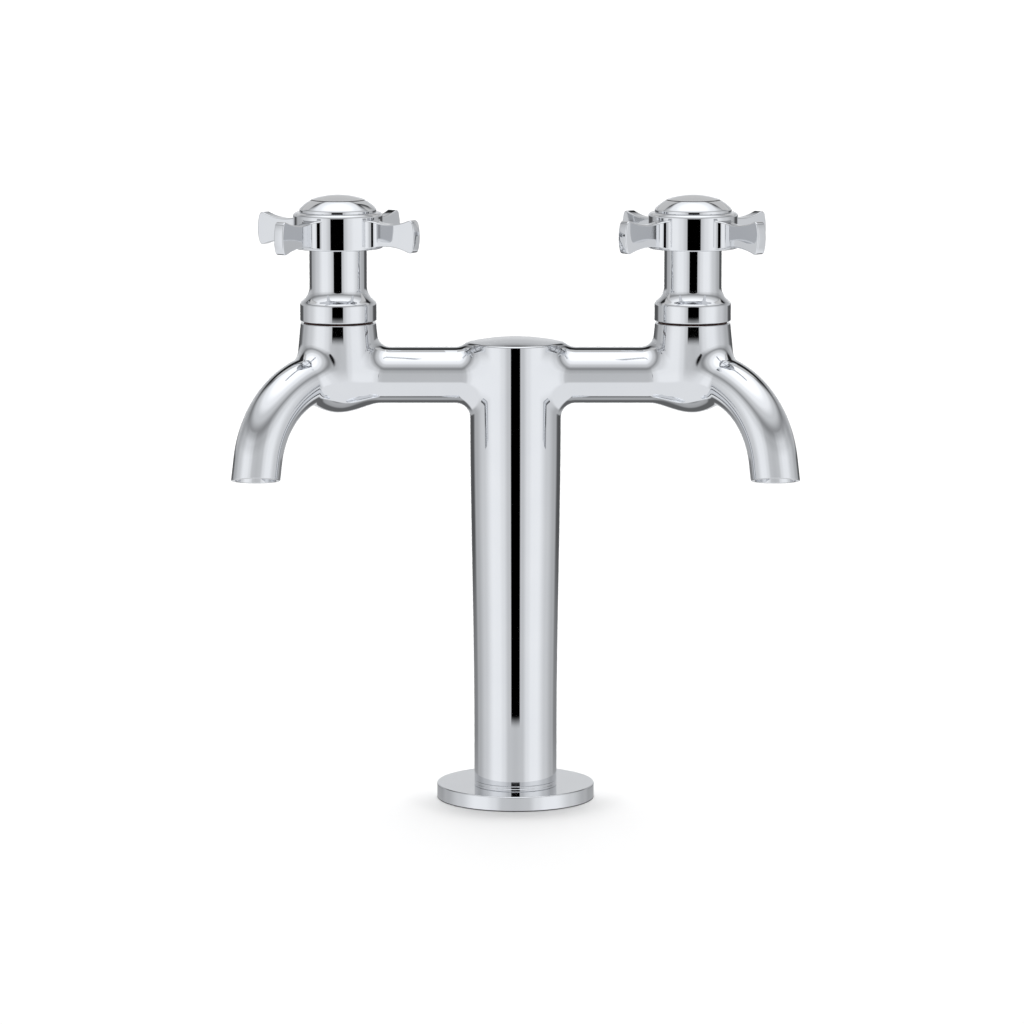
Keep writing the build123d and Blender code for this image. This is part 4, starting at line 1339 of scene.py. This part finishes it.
# %% Walls, ceiling and the paper in the mirror
walls = both(graded(azimuth, 0, 180, (0, 0.62), (18, 0.66), (32, 0.90), (45, 1.02), (60, 1.03),
                    (90, 0.72), (118, 0.50), (150, 0.58), (172, 0.74)),
             graded(elevation, -30, 40, (-10, 1.0), (8, 0.97), (20, 0.80), (31, 0.48)))
ceiling = graded(elevation, 0, 90, (31, 0.33), (44, 0.7), (57, 1.06), (72, 1.33))
above = graded(elevation, 0, 90, (30, 0.0), (33, 1.0))
below = graded(elevation, -90, 0, (-29, 1.0), (-20, 0.0))
mirrored_paper = 0.90
room = mixed(below, mixed(above, walls, ceiling), mirrored_paper)
print("nodes with the bright room:", len(tree.nodes))

# %% [markdown]
# Polished metal needs dark things to mirror, or it looks like white plastic. A beam that is
# nearly black runs behind, high up: the arms, the hubs and the caps show it as a line along their
# upper side. Low behind the tap the room is dark too, and shows as the dark edges of the column
# and of the flange, with a lighter gap straight behind.

# %% The dark beam, the dark back and the gap in it
behind = graded(azimuth, 90, 180, (120, 0.0), (145, 1.0))
beam = graded(elevation, 20, 70, (27, 0.0), (31, 1.0), (47, 1.0), (56, 0.0))
dark_back = both(graded(azimuth, 90, 180, (122, 0.0), (137, 1.0)),
                 graded(elevation, -20, 20, (-4, 1.0), (3, 0.0)))
back = graded(elevation, -90, 0, (-90, 0.30), (-83, 0.22), (-76, 0.48), (-65, 0.42), (-55, 0.14),
              (-30, 0.14), (-15, 0.46), (-12, 0.46), (-10.7, 0.26), (-9, 0.10))
gap = both(graded(azimuth, 90, 180, (163, 0.0), (173, 1.0)),
           both(graded(elevation, -60, 20, (-32, 0.0), (-22, 1.0)),
                graded(elevation, -60, 20, (0, 1.0), (8, 0.0))))
beam_brightness, gap_brightness = 0.02, 0.69
room = mixed(both(behind, beam), room, beam_brightness)
room = mixed(dark_back, room, back)
room = mixed(gap, room, gap_brightness)
print("nodes with the dark places:", len(tree.nodes))

# %% [markdown]
# The paper is lit by an even light and by a low glow, most of it from behind, so that the flange
# throws a short soft shadow towards the viewer. Together they bring the open paper just to
# white, and the shadow stays grey. Mirrored rays see the room, a little bluish, the camera sees
# white past the paper's end, and all other rays carry the paper's light. An area lamp could light
# the paper too, but the chrome would mirror it.

# %% Light on the paper, and what each kind of ray sees
tint = tree.nodes.new("ShaderNodeCombineColor")
for socket, share in zip(tint.inputs, (0.985, 1.0, 1.02)):
    tree.links.new(math("MULTIPLY", room, share), socket)
low_glow = both(graded(elevation, 0, 40, (3, 0.0), (7, 1.0), (19, 1.0), (25, 0.0)),
                graded(azimuth, 0, 180, (40, 0.35), (90, 0.7), (150, 1.6)))
even_light, glow_light = 0.35, 7.18
paper_light = math("ADD", even_light, math("MULTIPLY", low_glow, glow_light))
rays = tree.nodes.new("ShaderNodeLightPath")


def chosen(ray, otherwise, seen):
    """What this kind of ray sees, and what the others get: a mix that the ray's socket drives."""
    node = tree.nodes.new("ShaderNodeMix")
    node.data_type = "RGBA"
    colours = [socket for socket in node.inputs if socket.type == "RGBA"]
    tree.links.new(rays.outputs[ray], node.inputs[0])
    tree.links.new(otherwise, colours[0])
    if isinstance(seen, tuple):
        colours[1].default_value = seen
    else:
        tree.links.new(seen, colours[1])
    return next(socket for socket in node.outputs if socket.type == "RGBA")


white = (1.0, 1.0, 1.0, 1.0)
light = chosen("Is Glossy Ray", paper_light, tint.outputs["Color"])
light = chosen("Is Camera Ray", light, white)
tree.links.new(light, tree.nodes["Background"].inputs["Color"])
print("nodes in the whole room:", len(tree.nodes))

# %% [markdown]
# ## Cards close to the tap
#
# The photograph has a black line down the middle of the column and of each valve: narrow black
# cards close in front. They are hung as blinds, so from aslant they let the room through, or the
# round valve bodies would mirror them as large black patches. White cards stand behind the caps,
# which would mirror the dark beam otherwise. Only mirrored rays see the cards, and their edges
# are soft. A card could be a stripe in the room's gradient, but then it would not grow and shrink
# with the distance, as the real lines do.

# %% One card
blinds_open, blinds_shut = 0.11, 0.07


def card(name, place, half_size, soft, brightness=0.0, blinds=True):
    """An upright card that faces the tap: its middle, half its width and height in millimetres,
    and how far in from its sides, foot and head it fades. Blinds are shut within about 21 degrees
    of straight on and open past 27, by one less the cosine, which Layer Weight gives."""
    wide, high = (size * mm for size in half_size)
    side_fade, foot_fade, head_fade = (size * mm for size in soft)
    mesh = bpy.data.meshes.new(name)
    mesh.from_pydata([(-wide, 0, -high), (wide, 0, -high), (wide, 0, high), (-wide, 0, high)],
                     [], [(0, 1, 2, 3)])
    material = bpy.data.materials.new(name)
    material.use_nodes = True
    nodes, links = material.node_tree.nodes, material.node_tree.links
    math = arithmetic(material.node_tree)
    nodes.remove(nodes["Principled BSDF"])
    position = nodes.new("ShaderNodeTexCoord")
    split = nodes.new("ShaderNodeSeparateXYZ")
    links.new(position.outputs["Object"], split.inputs["Vector"])
    fades = [(math("ABSOLUTE", split.outputs["X"]), wide, wide - side_fade),
             (split.outputs["Z"], -high, foot_fade - high),
             (split.outputs["Z"], high, high - head_fade)]
    if blinds:
        weight = nodes.new("ShaderNodeLayerWeight")
        weight.inputs["Blend"].default_value = 0.5
        fades.append((weight.outputs["Facing"], blinds_open, blinds_shut))
    share = None
    for value, none, full in fades:
        fade = nodes.new("ShaderNodeMapRange")
        fade.interpolation_type = "SMOOTHSTEP"
        fade.inputs["From Min"].default_value = none
        fade.inputs["From Max"].default_value = full
        links.new(value, fade.inputs["Value"])
        shown = fade.outputs["Result"]
        share = shown if share is None else math("MULTIPLY", share, shown)
    clear, seen = nodes.new("ShaderNodeBsdfTransparent"), nodes.new("ShaderNodeEmission")
    seen.inputs["Strength"].default_value = brightness
    mix = nodes.new("ShaderNodeMixShader")
    links.new(share, mix.inputs[0])
    links.new(clear.outputs["BSDF"], mix.inputs[1])
    links.new(seen.outputs["Emission"], mix.inputs[2])
    links.new(mix.outputs["Shader"], nodes["Material Output"].inputs["Surface"])
    mesh.materials.append(material)
    new = bpy.data.objects.new(name, mesh)
    new.location = [v * mm for v in place]
    bpy.context.scene.collection.objects.link(new)
    new.visible_camera = new.visible_diffuse = new.visible_shadow = False
    print(f"{name}: {2 * half_size[0]} by {2 * half_size[1]} mm")


# %% The column's card, and two for each tap
card("card_column", (0, -90, 119), (18.5, 104.5), (2.5, 5, 20))
for tap, side in (("left", -1), ("right", 1)):
    card(f"card_{tap}_tap", (side * tap_x, -51, 203), (14.2, 25), (2.2, 4, 4))
    card(f"card_{tap}_cap", (side * tap_x, 50, 275), (95, 33), (25, 8, 14), 0.62, blinds=False)

# %% [markdown]
# ## The picture
#
# Colours go to the picture as they are, so that white paper comes out white. The default view
# transform would press the highlights down to grey.

# %% Plain colours
view = bpy.context.scene.view_settings
view.view_transform = "Standard"
view.look = "None"
print("view transform:", view.view_transform)
